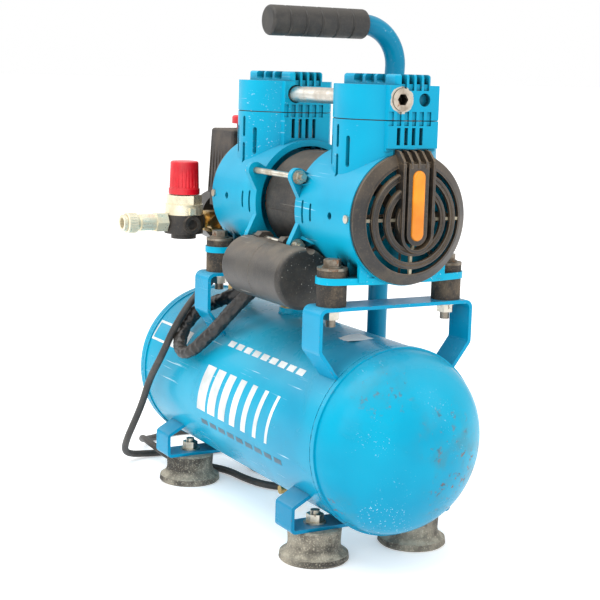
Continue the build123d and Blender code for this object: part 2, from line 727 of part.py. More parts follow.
with BuildPart() as check_valve:
    z_cylinder(6.45, tank_top - 4, bung_top, check_valve_x, 0)
    with BuildSketch(Plane.XY.offset(bung_top)):
        with Locations((check_valve_x, 0)):
            RegularPolygon(hexagon(19.0), 6)
    extrude(amount=10.0)
    z_cylinder(7.5, bung_top + 10, bung_top + 20, check_valve_x, 0)
    z_cylinder(3.2, bung_top - 9, bung_top + 20, check_valve_x, 0, Mode.SUBTRACT)

with BuildPart() as delivery_pipe:
    with BuildLine():
        delivery_path = FilletPolyline(
            (check_valve_x, 0, bung_top + 20.0),
            (check_valve_x, 0, 225.0),
            (check_valve_x - 1.0, 36.0, 229.0),
            (check_valve_x - 4.0, 64.0, 246.0),
            (check_valve_x - 4.0, 71.0, 292.0),
            (check_valve_x - 4.0, 69.0, tube_z),
            (check_valve_x - 4.0, 38.0, tube_z),
            radius=[9.0, 20.0, 20.0, 40.0, 16.0],
        )
    with BuildSketch(Plane(delivery_path @ 0, z_dir=delivery_path % 0)):
        Circle(4.0)
    sweep()

# ---- Controls ---------------------------------------------------------

with BuildPart() as manifold:
    z_cylinder(6.45, tank_top - 4, bung_top, manifold_x, 0)
    with BuildSketch(Plane.XY.offset(bung_top)):
        with Locations((manifold_x, 0)):
            RegularPolygon(hexagon(20.0), 6)
    extrude(amount=9.0)
    z_cylinder(7.5, bung_top + 9, 246.0, manifold_x, 0)
    z_cylinder(13.0, 246.0, 268.0, manifold_x, 0)
    y_cylinder(8.4, -22.0, 22.0, manifold_x, manifold_z)
    x_cylinder(8.2, manifold_x - 20.0, manifold_x, 0, manifold_z)
    z_cylinder(3.5, bung_top - 10, 264.0, manifold_x, 0, Mode.SUBTRACT)

with BuildPart() as brass_tee:
    y_cylinder(7.0, -42.0, -22.0, manifold_x, manifold_z)
    with BuildSketch(Plane.XZ.offset(27.0)):
        with Locations((manifold_x, manifold_z)):
            Rectangle(19.0, 19.0)
    extrude(amount=12.0)
    x_cylinder(7.6, manifold_x, manifold_x + 14.5, -33.0, manifold_z - 1.0)
    with BuildSketch(axis_x(manifold_x + 14.5)):
        with Locations((-33.0, manifold_z - 1.0)):
            RegularPolygon(hexagon(9.0), 6)
    extrude(amount=-4.0, mode=Mode.SUBTRACT)

with BuildPart() as safety_valve_body:
    with BuildSketch(Plane.XZ.offset(-22.0)):
        with Locations((manifold_x, manifold_z)):
            RegularPolygon(hexagon(14.0), 6)
    extrude(amount=-10.0)
    y_cylinder(5.4, 32.0, 48.0, manifold_x, manifold_z)
    y_cylinder(1.6, 48.0, 51.4, manifold_x, manifold_z)

with BuildPart() as safety_valve_pin:
    y_cylinder(3.4, 48.4, 54.0, manifold_x, manifold_z)
    y_cylinder(1.66, 48.0, 52.0, manifold_x, manifold_z, Mode.SUBTRACT)
    with Locations(Plane((manifold_x, 62.0, manifold_z), z_dir=(1, 0, 0))):
        Torus(9.0, 1.1)

with BuildPart() as pressure_switch_base:
    z_cylinder(11.5, 268.0, 273.0, switch_x, 0)
    block((switch_x - 25.0, switch_x + 25.0), (-24.0, 24.0), (273.0, 285.0))
    fillet(pressure_switch_base.edges().filter_by(Axis.Z).group_by(Axis.Z)[-1], radius=5.0)

with BuildPart() as pressure_switch_cover:
    with BuildSketch(Plane.XY.offset(285.0)):
        with Locations((switch_x, 0)):
            RectangleRounded(2 * switch_half_x, 2 * switch_half_y, 6.0)
    extrude(amount=63.0, taper=3.0)
    fillet(pressure_switch_cover.faces().sort_by(Axis.Z)[-1].edges(), radius=3.0)
    for side in (-1, 1):
        for groove in (-3, -2, -1, 0, 1, 2, 3):
            x = switch_x + 6.4 * groove
            block((x - 1.1, x + 1.1), sorted((side * 25.2, side * 27.0)), (292.0, 322.0), Mode.SUBTRACT)
            block((x - 1.1, x + 1.1), sorted((side * 23.6, side * 26.0)), (290.0, 345.0), Mode.SUBTRACT)
            y = 6.0 * groove
            x_low, x_high = sorted((switch_x + side * 24.6, switch_x + side * 28.0))
            block((x_low, x_high), (y - 1.1, y + 1.1), (290.0, 345.0), Mode.SUBTRACT)
    with BuildSketch(Plane.XY.offset(285.0)):
        with Locations((switch_x, 0)):
            RectangleRounded(44.0, 42.0, 4.0)
    extrude(amount=50.0, mode=Mode.SUBTRACT)
    z_cylinder(6.0, 330.0, 349.0, switch_x, 0, Mode.SUBTRACT)

with BuildPart() as switch_knob:
    z_cylinder(5.9, 336.0, 353.0, switch_x, 0)
    z_cylinder(10.5, 353.0, 361.0, switch_x, 0)
    fillet(switch_knob.faces().sort_by(Axis.Z)[-1].edges(), radius=2.5)

with BuildPart() as cable_gland:
    with BuildSketch(Plane.XY.offset(268.0)):
        with Locations((-103.0, -14.0)):
            RegularPolygon(hexagon(15.0), 6)
    extrude(amount=5.0)
    z_cylinder(6.4, 256.0, 268.0, -103.0, -14.0)
    z_cylinder(3.5, 255.0, 274.0, -103.0, -14.0, Mode.SUBTRACT)

with BuildPart() as regulator_body:
    z_cylinder(18.5, 248.0, 266.0, regulator_x, regulator_y)
    y_cylinder(6.9, -80.0, -42.0, regulator_x, manifold_z)
    x_cylinder(8.3, regulator_x, regulator_x + 21.0, regulator_y, 257.5)
    z_cylinder(12.0, 243.0, 248.0, regulator_x, regulator_y)
    x_cylinder(5.0, regulator_x + 17.0, regulator_x + 21.5, regulator_y, 257.5, Mode.SUBTRACT)

with BuildPart() as regulator_bonnet:
    z_cylinder(18.2, 266.0, 276.0, regulator_x, regulator_y)
    for side in (-1, 1):
        x_low, x_high = sorted((regulator_x + side * 17.0, regulator_x + side * 21.5))
        block((x_low, x_high), (regulator_y - 3.0, regulator_y + 3.0), (267.0, 273.5))
    with BuildSketch(Plane.XY.offset(276.0)):
        with Locations((regulator_x, regulator_y)):
            RegularPolygon(17.0, 6, rotation=8)
    extrude(amount=8.6)
    z_cylinder(5.05, 270.0, 285.0, regulator_x, regulator_y, Mode.SUBTRACT)

with BuildPart() as regulator_knob:
    z_cylinder(14.9, 285.6, 291.0, regulator_x, regulator_y)
    with BuildSketch(Plane.XY.offset(291.0)):
        with Locations((regulator_x, regulator_y)):
            Circle(14.1)
    extrude(amount=26.0, taper=1.6)
    fillet(regulator_knob.faces().sort_by(Axis.Z)[-1].edges(), radius=2.0)
    with Locations(Plane((regulator_x, regulator_y, 303.0))):
        with PolarLocations(14.6, 24):
            Cylinder(1.15, 22.0, mode=Mode.SUBTRACT)
    z_cylinder(5.0, 271.0, 300.0, regulator_x, regulator_y)

with BuildPart() as gauge_case:
    x_cylinder(6.0, gauge_x, manifold_x - 20.0, 0, manifold_z)
    x_cylinder(gauge_radius, gauge_x - 24.0, gauge_x, 0, manifold_z)
    fillet(gauge_case.edges().filter_by(GeomType.CIRCLE).sort_by(Axis.X)[0], radius=1.5)
    x_cylinder(gauge_radius - 2.0, gauge_x - 24.0, gauge_x - 8.0, 0, manifold_z, Mode.SUBTRACT)

with BuildPart() as gauge_dial:
    x_cylinder(gauge_radius - 2.1, gauge_x - 15.0, gauge_x - 13.8, 0, manifold_z)
    x_cylinder(1.2, gauge_x - 17.5, gauge_x - 15.0, 0, manifold_z)

with BuildPart() as gauge_lens:
    x_cylinder(gauge_radius - 2.1, gauge_x - 23.0, gauge_x - 20.6, 0, manifold_z)

with BuildPart() as gauge_needle:
    with BuildSketch(axis_x(gauge_x - 17.0)):
        with Locations((0, manifold_z)):
            Circle(3.2)
        with BuildLine():
            Polyline(
                (-1.4, manifold_z),
                (13.2, manifold_z - 13.8),
                (13.8, manifold_z - 13.2),
                (1.4, manifold_z),
                (-4.5, manifold_z + 4.5),
                close=True,
            )
        make_face()
        with Locations((0, manifold_z)):
            Circle(1.25, mode=Mode.SUBTRACT)
    extrude(amount=0.8)

with BuildPart() as coupler_body:
    with BuildSketch(Plane.XZ.offset(80.0)):
        with Locations((regulator_x, coupler_z)):
            RegularPolygon(hexagon(17.0), 6)
    extrude(amount=11.5)
    y_cylinder(8.0, -107.0, -91.5, regulator_x, coupler_z)
    y_cylinder(6.6, -124.0, -107.0, regulator_x, coupler_z)
    y_cylinder(8.0, -124.5, -121.0, regulator_x, coupler_z)
    y_cylinder(5.2, -124.5, -90.0, regulator_x, coupler_z, Mode.SUBTRACT)

with BuildPart() as coupler_sleeve:
    y_cylinder(9.75, -120.7, -110.3, regulator_x, coupler_z)
    chamfer(coupler_sleeve.edges().filter_by(GeomType.CIRCLE), length=0.8)
    with Locations(Plane((regulator_x, -115.5, coupler_z), z_dir=(0, 1, 0))):
        with PolarLocations(10.3, 20):
            Cylinder(0.9, 7.0, mode=Mode.SUBTRACT)
    y_cylinder(6.68, -122.0, -109.0, regulator_x, coupler_z, Mode.SUBTRACT)

# ---- Cords --------------------------------------------------------------

gland_x, gland_y = -103.0, -14.0
floor_z = cord_diameter / 2 + 0.1

cord_route = [
    (-103.0, -14.0, 256.0),
    (-102.4, -15.8, 236.0),
    (-98.5, -27.0, 218.0),
    (-93.0, -46.0, 203.0),
    (-89.5, -67.0, 187.0),
    (-92.5, -83.0, 161.0),
    (-106.0, -89.5, 132.0),
    (-129.0, -92.0, 105.0),
    (-149.0, -91.0, 76.0),
    (-167.5, -92.5, 51.0),
    (-183.0, -93.5, 31.0),
    (-197.0, -90.5, 15.5),
    (-209.0, -78.5, 7.2),
    (-215.0, -59.0, 4.0),
    (-213.0, -36.0, floor_z),
    (-204.0, -11.0, floor_z),
    (-199.0, 16.0, floor_z),
    (-208.0, 42.5, floor_z),
    (-232.0, 58.5, floor_z),
    (-261.0, 55.0, floor_z),
    (-282.0, 33.0, floor_z),
    (-285.0, 2.0, floor_z),
    (-272.0, -27.0, floor_z),
    (-251.0, -48.0, 9.0),
    (-226.0, -58.5, floor_z + 15.5),
    (-196.0, -60.0, floor_z + 15.5),
    (-168.0, -50.0, 9.0),
    (-153.0, -22.0, floor_z),
    (-126.0, -6.0, floor_z),
    (-94.0, -4.0, floor_z),
    (-63.0, 5.0, floor_z),
    (-42.0, 30.0, floor_z),
    (-36.0, 62.0, floor_z),
    (-39.0, 93.0, floor_z),
    (-47.0, 122.0, floor_z),
]

sleeve_route = [
    (2.0, -22.0, 244.0),
    (0.0, -28.0, 226.0),
    (-8.0, -44.0, 208.0),
    (-18.0, -58.0, 190.0),
    (-32.0, -67.0, 171.0),
    (-47.0, -75.0, 155.0),
    (-61.0, -81.0, 143.0),
    (-78.0, -82.0, 140.0),
    (-93.0, -77.0, 149.0),
    (-98.0, -68.0, 164.0),
    (-88.0, -60.0, 178.0),
    (-68.0, -56.0, 187.0),
    (-46.0, -48.0, 196.0),
    (-30.0, -34.0, 210.0),
    (-24.0, -20.0, 227.0),
    (-24.0, -18.0, 242.0),
]


def corner_radii(route):
    """Largest tidy arc at each corner: 0.45 of the shorter run over the tangent of half the turn."""
    radii = []
    for before, corner, after in zip(route, route[1:], route[2:]):
        run_in = Vector(*corner) - Vector(*before)
        run_out = Vector(*after) - Vector(*corner)
        turn = radians(run_in.get_angle(run_out))
        radii.append(0.45 * min(run_in.length, run_out.length) / tan(turn / 2))
    return radii


def report_tube(label, tube, path_length, diameter, radii):
    expected = path_length * pi * diameter**2 / 4
    print(label, "length", round(path_length, 1), "volume ratio", round(tube.volume / expected, 4))
    print(label, "radii", [round(radius, 1) for radius in radii])


with BuildPart() as power_cord:
    with BuildLine():
        cord_path = FilletPolyline(*cord_route, radius=corner_radii(cord_route))
    with BuildSketch(Plane(cord_path @ 0, z_dir=cord_path % 0)):
        Circle(cord_diameter / 2)
    sweep()
cord_length = cord_path.length
report_tube("power_cord", power_cord.part, cord_length, cord_diameter, corner_radii(cord_route))

with BuildPart() as motor_lead_sleeve:
    with BuildLine():
        sleeve_path = FilletPolyline(*sleeve_route, radius=corner_radii(sleeve_route))
    with BuildSketch(Plane(sleeve_path @ 0, z_dir=sleeve_path % 0)):
        Circle(sleeve_diameter / 2)
    sweep()
sleeve_length = sleeve_path.length
report_tube("sleeve", motor_lead_sleeve.part, sleeve_length, sleeve_diameter, corner_radii(sleeve_route))

# Put-away coil behind the tank, and the plug that lies beside it
coil_x, coil_y = -8.0, 140.0
coil_turn_radius = 39.0
coil_height = 15.0
coil_outer = coil_turn_radius + 7.6
coil_inner = coil_turn_radius - 7.6

with BuildPart() as power_cord_coil:
    z_cylinder(coil_outer, 0.1, coil_height, coil_x, coil_y)
    z_cylinder(coil_inner, 0.0, coil_height + 1, coil_x, coil_y, Mode.SUBTRACT)

# The plug points away from the coil, whose side its neck touches
plug_x = -54.0
plug_y = 104.5
plug_z = 18.6
with BuildPart() as power_plug:
    x_cylinder(18.4, plug_x - 24.0, plug_x, plug_y, plug_z)
    fillet(power_plug.edges().filter_by(GeomType.CIRCLE).group_by(Axis.X)[0], radius=2.0)
    block((plug_x, plug_x + 15.6), (plug_y - 9.0, plug_y + 9.0), (plug_z - 8.0, plug_z + 8.0))
    fillet(power_plug.edges().filter_by(Axis.X), radius=3.0)
    for side in (-1, 1):
        x_cylinder(2.4, plug_x - 43.0, plug_x - 20.0, plug_y + side * 9.5, plug_z)

# ---- Label and write every piece ----------------------------------------

pieces = {
    "tank_barrel": tank_barrel,
    "tank_domes": tank_domes,
    "pump_brackets": pump_brackets,
    "foot_brackets": foot_brackets,
    "rubber_feet": rubber_feet,
    "foot_bolts": foot_bolts,
    "drain_valve_body": drain_valve_body,
    "drain_valve_knob": drain_valve_knob,
    "handle_tube": handle_tube,
    "handle_grip": handle_grip,
    "mount_rubbers": mount_rubbers,
    "mount_bolts": mount_bolts,
    "crankcase_front": crankcase_front,
    "crankcase_rear": rear_units["crankcase"],
    "head_cover_front": head_cover_front,
    "head_cover_rear": rear_units["head_cover"],
    "fan_cover_front": fan_cover_front,
    "fan_cover_rear": rear_units["fan_cover"],
    "accent_inserts": accent_inserts,
    "valve_plates": valve_plates,
    "cylinder_liners": cylinder_liners,
    "port_plugs": port_plugs,
    "link_pipe": link_pipe,
    "motor_stator": motor_stator,
    "stator_windings": stator_windings,
    "shaft_bearings": shaft_bearings,
    "motor_rotor": motor_rotor,
    "cooling_fans": cooling_fans,
    "piston_front": pistons["front"],
    "piston_rear": pistons["rear"],
    "tie_rods": tie_rods,
    "hex_nuts": hex_nuts,
    "barrel_screws": barrel_screws,
    "capacitor_housing_front": housings["front"],
    "capacitor_housing_rear": housings["rear"],
    "capacitor": capacitor,
    "capacitor_clips": capacitor_clips,
    "check_valve": check_valve,
    "delivery_pipe": delivery_pipe,
    "manifold": manifold,
    "brass_tee": brass_tee,
    "safety_valve_body": safety_valve_body,
    "safety_valve_pin": safety_valve_pin,
    "pressure_switch_base": pressure_switch_base,
    "pressure_switch_cover": pressure_switch_cover,
    "switch_knob": switch_knob,
    "cable_gland": cable_gland,
    "regulator_body": regulator_body,
    "regulator_bonnet": regulator_bonnet,
    "regulator_knob": regulator_knob,
    "gauge_case": gauge_case,
    "gauge_dial": gauge_dial,
    "gauge_lens": gauge_lens,
    "gauge_needle": gauge_needle,
    "coupler_body": coupler_body,
    "coupler_sleeve": coupler_sleeve,
    "motor_lead_sleeve": motor_lead_sleeve,
    "power_cord": power_cord,
    "power_cord_coil": power_cord_coil,
    "power_plug": power_plug,
}
for piece_name, piece in pieces.items():
    piece.part.label = piece_name
    export_step(piece.part, f"parts/{piece_name}.step")
print(len(pieces), "pieces")
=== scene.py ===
import math

import bmesh
import bpy
from mathutils import Matrix, Vector, noise


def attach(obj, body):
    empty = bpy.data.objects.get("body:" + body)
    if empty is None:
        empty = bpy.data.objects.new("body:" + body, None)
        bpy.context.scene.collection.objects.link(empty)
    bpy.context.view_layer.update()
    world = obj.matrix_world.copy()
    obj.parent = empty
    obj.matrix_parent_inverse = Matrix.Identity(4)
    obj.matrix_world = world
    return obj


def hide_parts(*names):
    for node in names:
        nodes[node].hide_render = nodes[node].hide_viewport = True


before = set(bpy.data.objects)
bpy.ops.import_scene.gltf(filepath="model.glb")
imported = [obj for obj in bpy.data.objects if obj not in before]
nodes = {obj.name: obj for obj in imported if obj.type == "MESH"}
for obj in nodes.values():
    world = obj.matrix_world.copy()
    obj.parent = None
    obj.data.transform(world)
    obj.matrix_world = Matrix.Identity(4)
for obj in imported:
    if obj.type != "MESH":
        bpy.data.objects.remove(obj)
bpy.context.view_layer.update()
scene = bpy.context.scene
mm = 0.001
print("frame loaded:", len(nodes), "pieces")


# Camera, light and floor
shot = {
    "place": (1.0923, -0.6118, 0.40235),
    "aim": (0.00052, 0.00094, 0.1978),
    "lens": 83.13,
    "roll": math.radians(1.57),
}
cameraData = bpy.data.cameras.new("camera")
cameraData.lens = shot["lens"]
cameraData.sensor_width = 36.0
cameraData.clip_start = 0.05
camera = bpy.data.objects.new("camera", cameraData)
scene.collection.objects.link(camera)
lookBack = (Vector(shot["place"]) - Vector(shot["aim"])).normalized()
facing = (-lookBack).to_track_quat("-Z", "Y").to_matrix().to_4x4()
camera.matrix_world = (
    Matrix.Translation(shot["place"]) @ facing @ Matrix.Rotation(shot["roll"], 4, "Z")
)
scene.camera = camera


def areaLight(name, place, aim, size, power, tint=(1.0, 1.0, 1.0)):
    data = bpy.data.lights.new(name, "AREA")
    data.shape = "RECTANGLE"
    data.size, data.size_y = size
    data.energy = power
    data.color = tint
    lamp = bpy.data.objects.new(name, data)
    scene.collection.objects.link(lamp)
    lamp.location = place
    lamp.rotation_euler = (Vector(place) - Vector(aim)).to_track_quat("Z", "Y").to_euler()
    return lamp


areaLight("topSoftbox", (0.2, -0.5, 1.6), (0.0, 0.0, 0.25), (1.3, 1.3), 14.0)
areaLight("frontSoftbox", (1.3, -1.6, 1.0), (0.05, 0.0, 0.2), (1.2, 1.2), 9.0, (1.0, 0.985, 0.96))
areaLight("sideSoftbox", (1.5, 1.3, 0.9), (0.1, 0.0, 0.2), (0.9, 1.2), 5.5)
areaLight("backSoftbox", (-1.4, -0.9, 1.1), (0.0, 0.0, 0.25), (1.0, 1.0), 4.0)

world = bpy.data.worlds.new("studio")
scene.world = world
world.use_nodes = True
worldNodes = world.node_tree.nodes
worldNodes["Background"].inputs["Color"].default_value = (1.0, 1.0, 1.0, 1.0)
worldNodes["Background"].inputs["Strength"].default_value = 1.0
scene.view_settings.view_transform = "Standard"

floorMesh = bpy.data.meshes.new("studioFloor")
floorMesh.from_pydata([(-60, -60, 0), (60, -60, 0), (60, 60, 0), (-60, 60, 0)], [], [(0, 1, 2, 3)])
studioFloor = bpy.data.objects.new("studioFloor", floorMesh)
scene.collection.objects.link(studioFloor)
floorPaint = bpy.data.materials.new("studioFloor")
floorPaint.use_nodes = True
floorShader = floorPaint.node_tree.nodes["Principled BSDF"]
floorShader.inputs["Base Color"].default_value = (0.93, 0.93, 0.93, 1.0)
floorShader.inputs["Roughness"].default_value = 0.65
floorShader.inputs["Emission Color"].default_value = (1.0, 1.0, 1.0, 1.0)
floorShader.inputs["Emission Strength"].default_value = 0.35
floorMesh.materials.append(floorPaint)
print("camera, lights and floor are in place")


# Cords
leadValues = {
    "radius": 3.5 * mm,
    "floor": 3.6,
    "coilCentre": (-8.0, 140.0),
    "outerTurn": 42.4,
    "innerTurn": 35.2,
    "layer": 7.3,
    "length": 1.89,
}
floorLine = leadValues["floor"]
leadRoute = [
    (-103.0, -14.0, 256.0),
    (-102.4, -15.8, 236.0),
    (-98.5, -27.0, 218.0),
    (-93.0, -46.0, 203.0),
    (-89.5, -67.0, 187.0),
    (-92.5, -83.0, 161.0),
    (-106.0, -89.5, 132.0),
    (-129.0, -92.0, 105.0),
    (-149.0, -91.0, 76.0),
    (-167.5, -92.5, 51.0),
    (-183.0, -93.5, 31.0),
    (-197.0, -90.5, 15.5),
    (-209.0, -78.5, 7.2),
    (-215.0, -59.0, 4.0),
    (-213.0, -36.0, floorLine),
    (-204.0, -11.0, floorLine),
    (-199.0, 16.0, floorLine),
    (-208.0, 42.5, floorLine),
    (-232.0, 58.5, floorLine),
    (-261.0, 55.0, floorLine),
    (-282.0, 33.0, floorLine),
    (-285.0, 2.0, floorLine),
    (-272.0, -27.0, floorLine),
    (-251.0, -48.0, 9.0),
    (-226.0, -58.5, floorLine + 15.5),
    (-196.0, -60.0, floorLine + 15.5),
    (-168.0, -50.0, 9.0),
    (-153.0, -22.0, floorLine),
    (-126.0, -6.0, floorLine),
    (-94.0, -4.0, floorLine),
    (-63.0, 5.0, floorLine),
    (-42.0, 30.0, floorLine),
    (-36.0, 62.0, floorLine),
    (-39.0, 93.0, floorLine),
    (-47.0, 122.0, floorLine),
]


# Points of the put-away turns, clockwise, two lanes below and two above
def coilTurns():
    centreX, centreY = leadValues["coilCentre"]
    low, high = floorLine, floorLine + leadValues["layer"]
    lanes = [  # lane radius, height, first and last angle
        (leadValues["outerTurn"], low, 190, -128),
        (leadValues["innerTurn"], low, -156, -476),
        (leadValues["innerTurn"], high, -508, -830),
        (leadValues["outerTurn"], high, -856, -1160),
    ]
    points = []
    for laneRadius, height, start, end in lanes:
        steps = round(abs(end - start) / 29)
        for step in range(steps + 1):
            angle = math.radians(start + (end - start) * step / steps)
            wander = 0.35 * math.sin(3.1 * angle + height)
            points.append(
                (
                    centreX + (laneRadius + wander) * math.cos(angle),
                    centreY + (laneRadius + wander) * math.sin(angle),
                    height,
                )
            )
    return points


plugValues = {"x": -54.0, "y": 104.5, "z": 18.6, "pinOffset": 9.5}
tailRoute = [
    (-8.0, 97.6, floorLine + leadValues["layer"]),
    (-22.0, 99.6, 13.6),
    (-31.0, 103.6, 17.2),
    (plugValues["x"] + 16.0, plugValues["y"], plugValues["z"]),
]


def nurbsCurve(name, route, radius):
    data = bpy.data.curves.new(name, "CURVE")
    data.dimensions = "3D"
    data.bevel_depth = radius
    data.bevel_resolution = 6
    data.use_fill_caps = True
    data.resolution_u = 8
    spline = data.splines.new("NURBS")
    spline.points.add(len(route) - 1)
    for point, spot in zip(spline.points, route):
        point.co = (spot[0] * mm, spot[1] * mm, spot[2] * mm, 1.0)
    spline.order_u = 3
    spline.use_endpoint_u = True
    curve = bpy.data.objects.new(name, data)
    scene.collection.objects.link(curve)
    return curve


# Points read from the smooth line of a route, in metres
def curveLine(route):
    bare = nurbsCurve("line", route, 0.0)
    bpy.context.view_layer.update()
    mesh = bpy.data.meshes.new_from_object(bare.evaluated_get(bpy.context.evaluated_depsgraph_get()))
    line = [vertex.co.copy() for vertex in mesh.vertices]
    bpy.data.objects.remove(bare)
    bpy.data.meshes.remove(mesh)
    return line


mainsLead = nurbsCurve("mainsLead", leadRoute + coilTurns() + tailRoute, leadValues["radius"])
print("mains lead laid")

sleeveRoute = [
    (2.0, -22.0, 244.0),
    (0.0, -28.0, 226.0),
    (-8.0, -44.0, 208.0),
    (-18.0, -58.0, 190.0),
    (-32.0, -67.0, 171.0),
    (-47.0, -75.0, 155.0),
    (-61.0, -81.0, 143.0),
    (-78.0, -82.0, 140.0),
    (-93.0, -77.0, 149.0),
    (-98.0, -68.0, 164.0),
    (-88.0, -60.0, 178.0),
    (-68.0, -56.0, 187.0),
    (-46.0, -48.0, 196.0),
    (-30.0, -34.0, 210.0),
    (-24.0, -20.0, 227.0),
    (-24.0, -18.0, 242.0),
]
sleeveValues = {"radius": 5.45, "sides": 30, "step": 1.1, "crease": 3.0, "wave": 7.5}


def meshObject(name, vertices, faces, smooth=True):
    mesh = bpy.data.meshes.new(name)
    mesh.from_pydata(vertices, [], faces)
    for face in mesh.polygons:
        face.use_smooth = smooth
    mesh.update()
    made = bpy.data.objects.new(name, mesh)
    scene.collection.objects.link(made)
    return made


# The same line with points an even step apart, in metres
def evenLine(line, step):
    lengths = [0.0]
    for before, after in zip(line, line[1:]):
        lengths.append(lengths[-1] + (after - before).length)
    count = max(2, round(lengths[-1] / step))
    even, place = [], 0
    for number in range(count + 1):
        target = lengths[-1] * number / count
        while place < len(line) - 2 and lengths[place + 1] < target:
            place += 1
        share = (target - lengths[place]) / max(lengths[place + 1] - lengths[place], 1e-9)
        even.append(line[place].lerp(line[place + 1], share))
    return even


# Closed tube round a line; radiusAt(distance, angle, share) gives its radius in metres
def tubeAlong(name, line, sides, radiusAt):
    vertices, faces = [], []
    across = Vector((0.0, 0.0, 1.0))
    total = sum((b - a).length for a, b in zip(line, line[1:]))
    travelled = 0.0
    for number, spot in enumerate(line):
        ahead = line[min(number + 1, len(line) - 1)] - line[max(number - 1, 0)]
        ahead.normalize()
        if number:
            travelled += (spot - line[number - 1]).length
        across = across - ahead * across.dot(ahead)
        if across.length < 0.2:
            across = ahead.orthogonal()
        across.normalize()
        other = ahead.cross(across)
        for side in range(sides):
            angle = 2 * math.pi * side / sides
            radius = radiusAt(travelled, angle, travelled / total)
            vertices.append(spot + (across * math.cos(angle) + other * math.sin(angle)) * radius)
    for ring in range(len(line) - 1):
        for side in range(sides):
            a = ring * sides + side
            b = ring * sides + (side + 1) % sides
            faces.append((a, b, b + sides, a + sides))
    last = (len(line) - 1) * sides
    faces.append(tuple(range(sides))[::-1])
    faces.append(tuple(range(last, last + sides)))
    return meshObject(name, vertices, faces)


def sleeveRadius(distance, angle, share):
    turned = angle + distance * 38.0
    along = distance / (sleeveValues["wave"] * mm)
    fold = noise.noise(Vector((math.cos(turned) * 1.1, math.sin(turned) * 1.1, along)))
    fine = noise.noise(Vector((math.cos(turned) * 2.6 + 7.0, math.sin(turned) * 2.6, along * 2.7)))
    crumple = 0.75 * (0.45 - abs(fold)) + 0.28 * (0.4 - abs(fine))
    flat = 0.26 * math.cos(2 * (angle - distance * 16.0))
    pinch = 1.0 - 0.10 * math.exp(-((share - 0.46) * 16) ** 2)
    return (sleeveValues["radius"] * (1.0 + 0.11 * flat) * pinch + sleeveValues["crease"] * crumple) * mm


sleeveLine = evenLine(curveLine(sleeveRoute), sleeveValues["step"] * mm)
leadSleeve = tubeAlong("leadSleeve", sleeveLine, sleeveValues["sides"], sleeveRadius)
print("lead sleeve crumpled")

bootValues = {"radius": 6.1, "taper": 2.1, "rib": 0.35, "ribPitch": 4.0, "ribWidth": 2.2, "steps": 36}
bootLine = evenLine(curveLine(leadRoute[:5]), 0.8 * mm)[: bootValues["steps"]]


# Ribbed sleeve that narrows along the lead
def bootRadius(distance, angle, share):
    onRib = (distance / mm) % bootValues["ribPitch"] < bootValues["ribWidth"] and 0.08 < share < 0.9
    rib = bootValues["rib"] if onRib else 0.0
    return (bootValues["radius"] - bootValues["taper"] * share + rib) * mm


glandBoot = tubeAlong("glandBoot", bootLine, 24, bootRadius)


# Plug
# Turned shape about a line along X; profile is (distance along X, radius) in mm
def latheX(name, profile, x, y, z, sides=48):
    vertices, faces = [], []
    for along, radius in profile:
        for side in range(sides):
            angle = 2 * math.pi * side / sides
            vertices.append(
                ((x + along) * mm, (y + radius * math.cos(angle)) * mm, (z + radius * math.sin(angle)) * mm)
            )
    for ring in range(len(profile) - 1):
        for side in range(sides):
            a = ring * sides + side
            b = ring * sides + (side + 1) % sides
            faces.append((a, b, b + sides, a + sides))
    faces.append(tuple(range(sides))[::-1])
    last = (len(profile) - 1) * sides
    faces.append(tuple(range(last, last + sides)))
    return meshObject(name, vertices, faces)


# One mesh from several, with its normals turned outwards
def joined(name, parts):
    whole = bmesh.new()
    for part in parts:
        whole.from_mesh(part.data)
    bmesh.ops.recalc_face_normals(whole, faces=whole.faces)
    mesh = bpy.data.meshes.new(name)
    whole.to_mesh(mesh)
    whole.free()
    for part in parts:
        bpy.data.objects.remove(part)
    made = bpy.data.objects.new(name, mesh)
    scene.collection.objects.link(made)
    return made


plugBody = latheX(
    "plugBody",
    [
        (-23.6, 4.0),
        (-23.8, 15.6),
        (-22.9, 17.5),
        (-20.0, 18.1),
        (-17.0, 18.1),
        (-16.2, 17.0),
        (-15.0, 17.0),
        (-14.2, 18.1),
        (-11.5, 18.0),
        (-8.0, 16.6),
        (-4.0, 13.0),
        (0.0, 9.4),
        (3.0, 7.8),
        (3.6, 6.4),
        (5.2, 6.4),
        (5.8, 7.2),
        (7.4, 7.0),
        (8.0, 5.8),
        (9.6, 5.8),
        (10.2, 6.4),
        (11.6, 6.2),
        (12.2, 5.0),
        (13.6, 5.0),
        (14.2, 5.4),
        (15.4, 5.2),
        (16.0, 4.0),
    ],
    plugValues["x"],
    plugValues["y"],
    plugValues["z"],
)
plugPins = [
    latheX(
        "plugPin",
        [(-43.0, 0.8), (-42.6, 1.7), (-41.6, 2.35), (-33.0, 2.4), (-32.6, 2.2), (-20.0, 2.2)],
        plugValues["x"],
        plugValues["y"] + side * plugValues["pinOffset"],
        plugValues["z"],
        20,
    )
    for side in (-1, 1)
]
mainsPlug = joined("mainsPlug", [plugBody])
plugPinPair = joined("plugPinPair", plugPins)
print("plug made")


# Finishes
# Linear colour from the usual 0 to 255 scale
def screen(red, green, blue):
    linear = []
    for value in (red, green, blue):
        share = value / 255
        linear.append(share / 12.92 if share <= 0.04045 else ((share + 0.055) / 1.055) ** 2.4)
    return (*linear, 1.0)


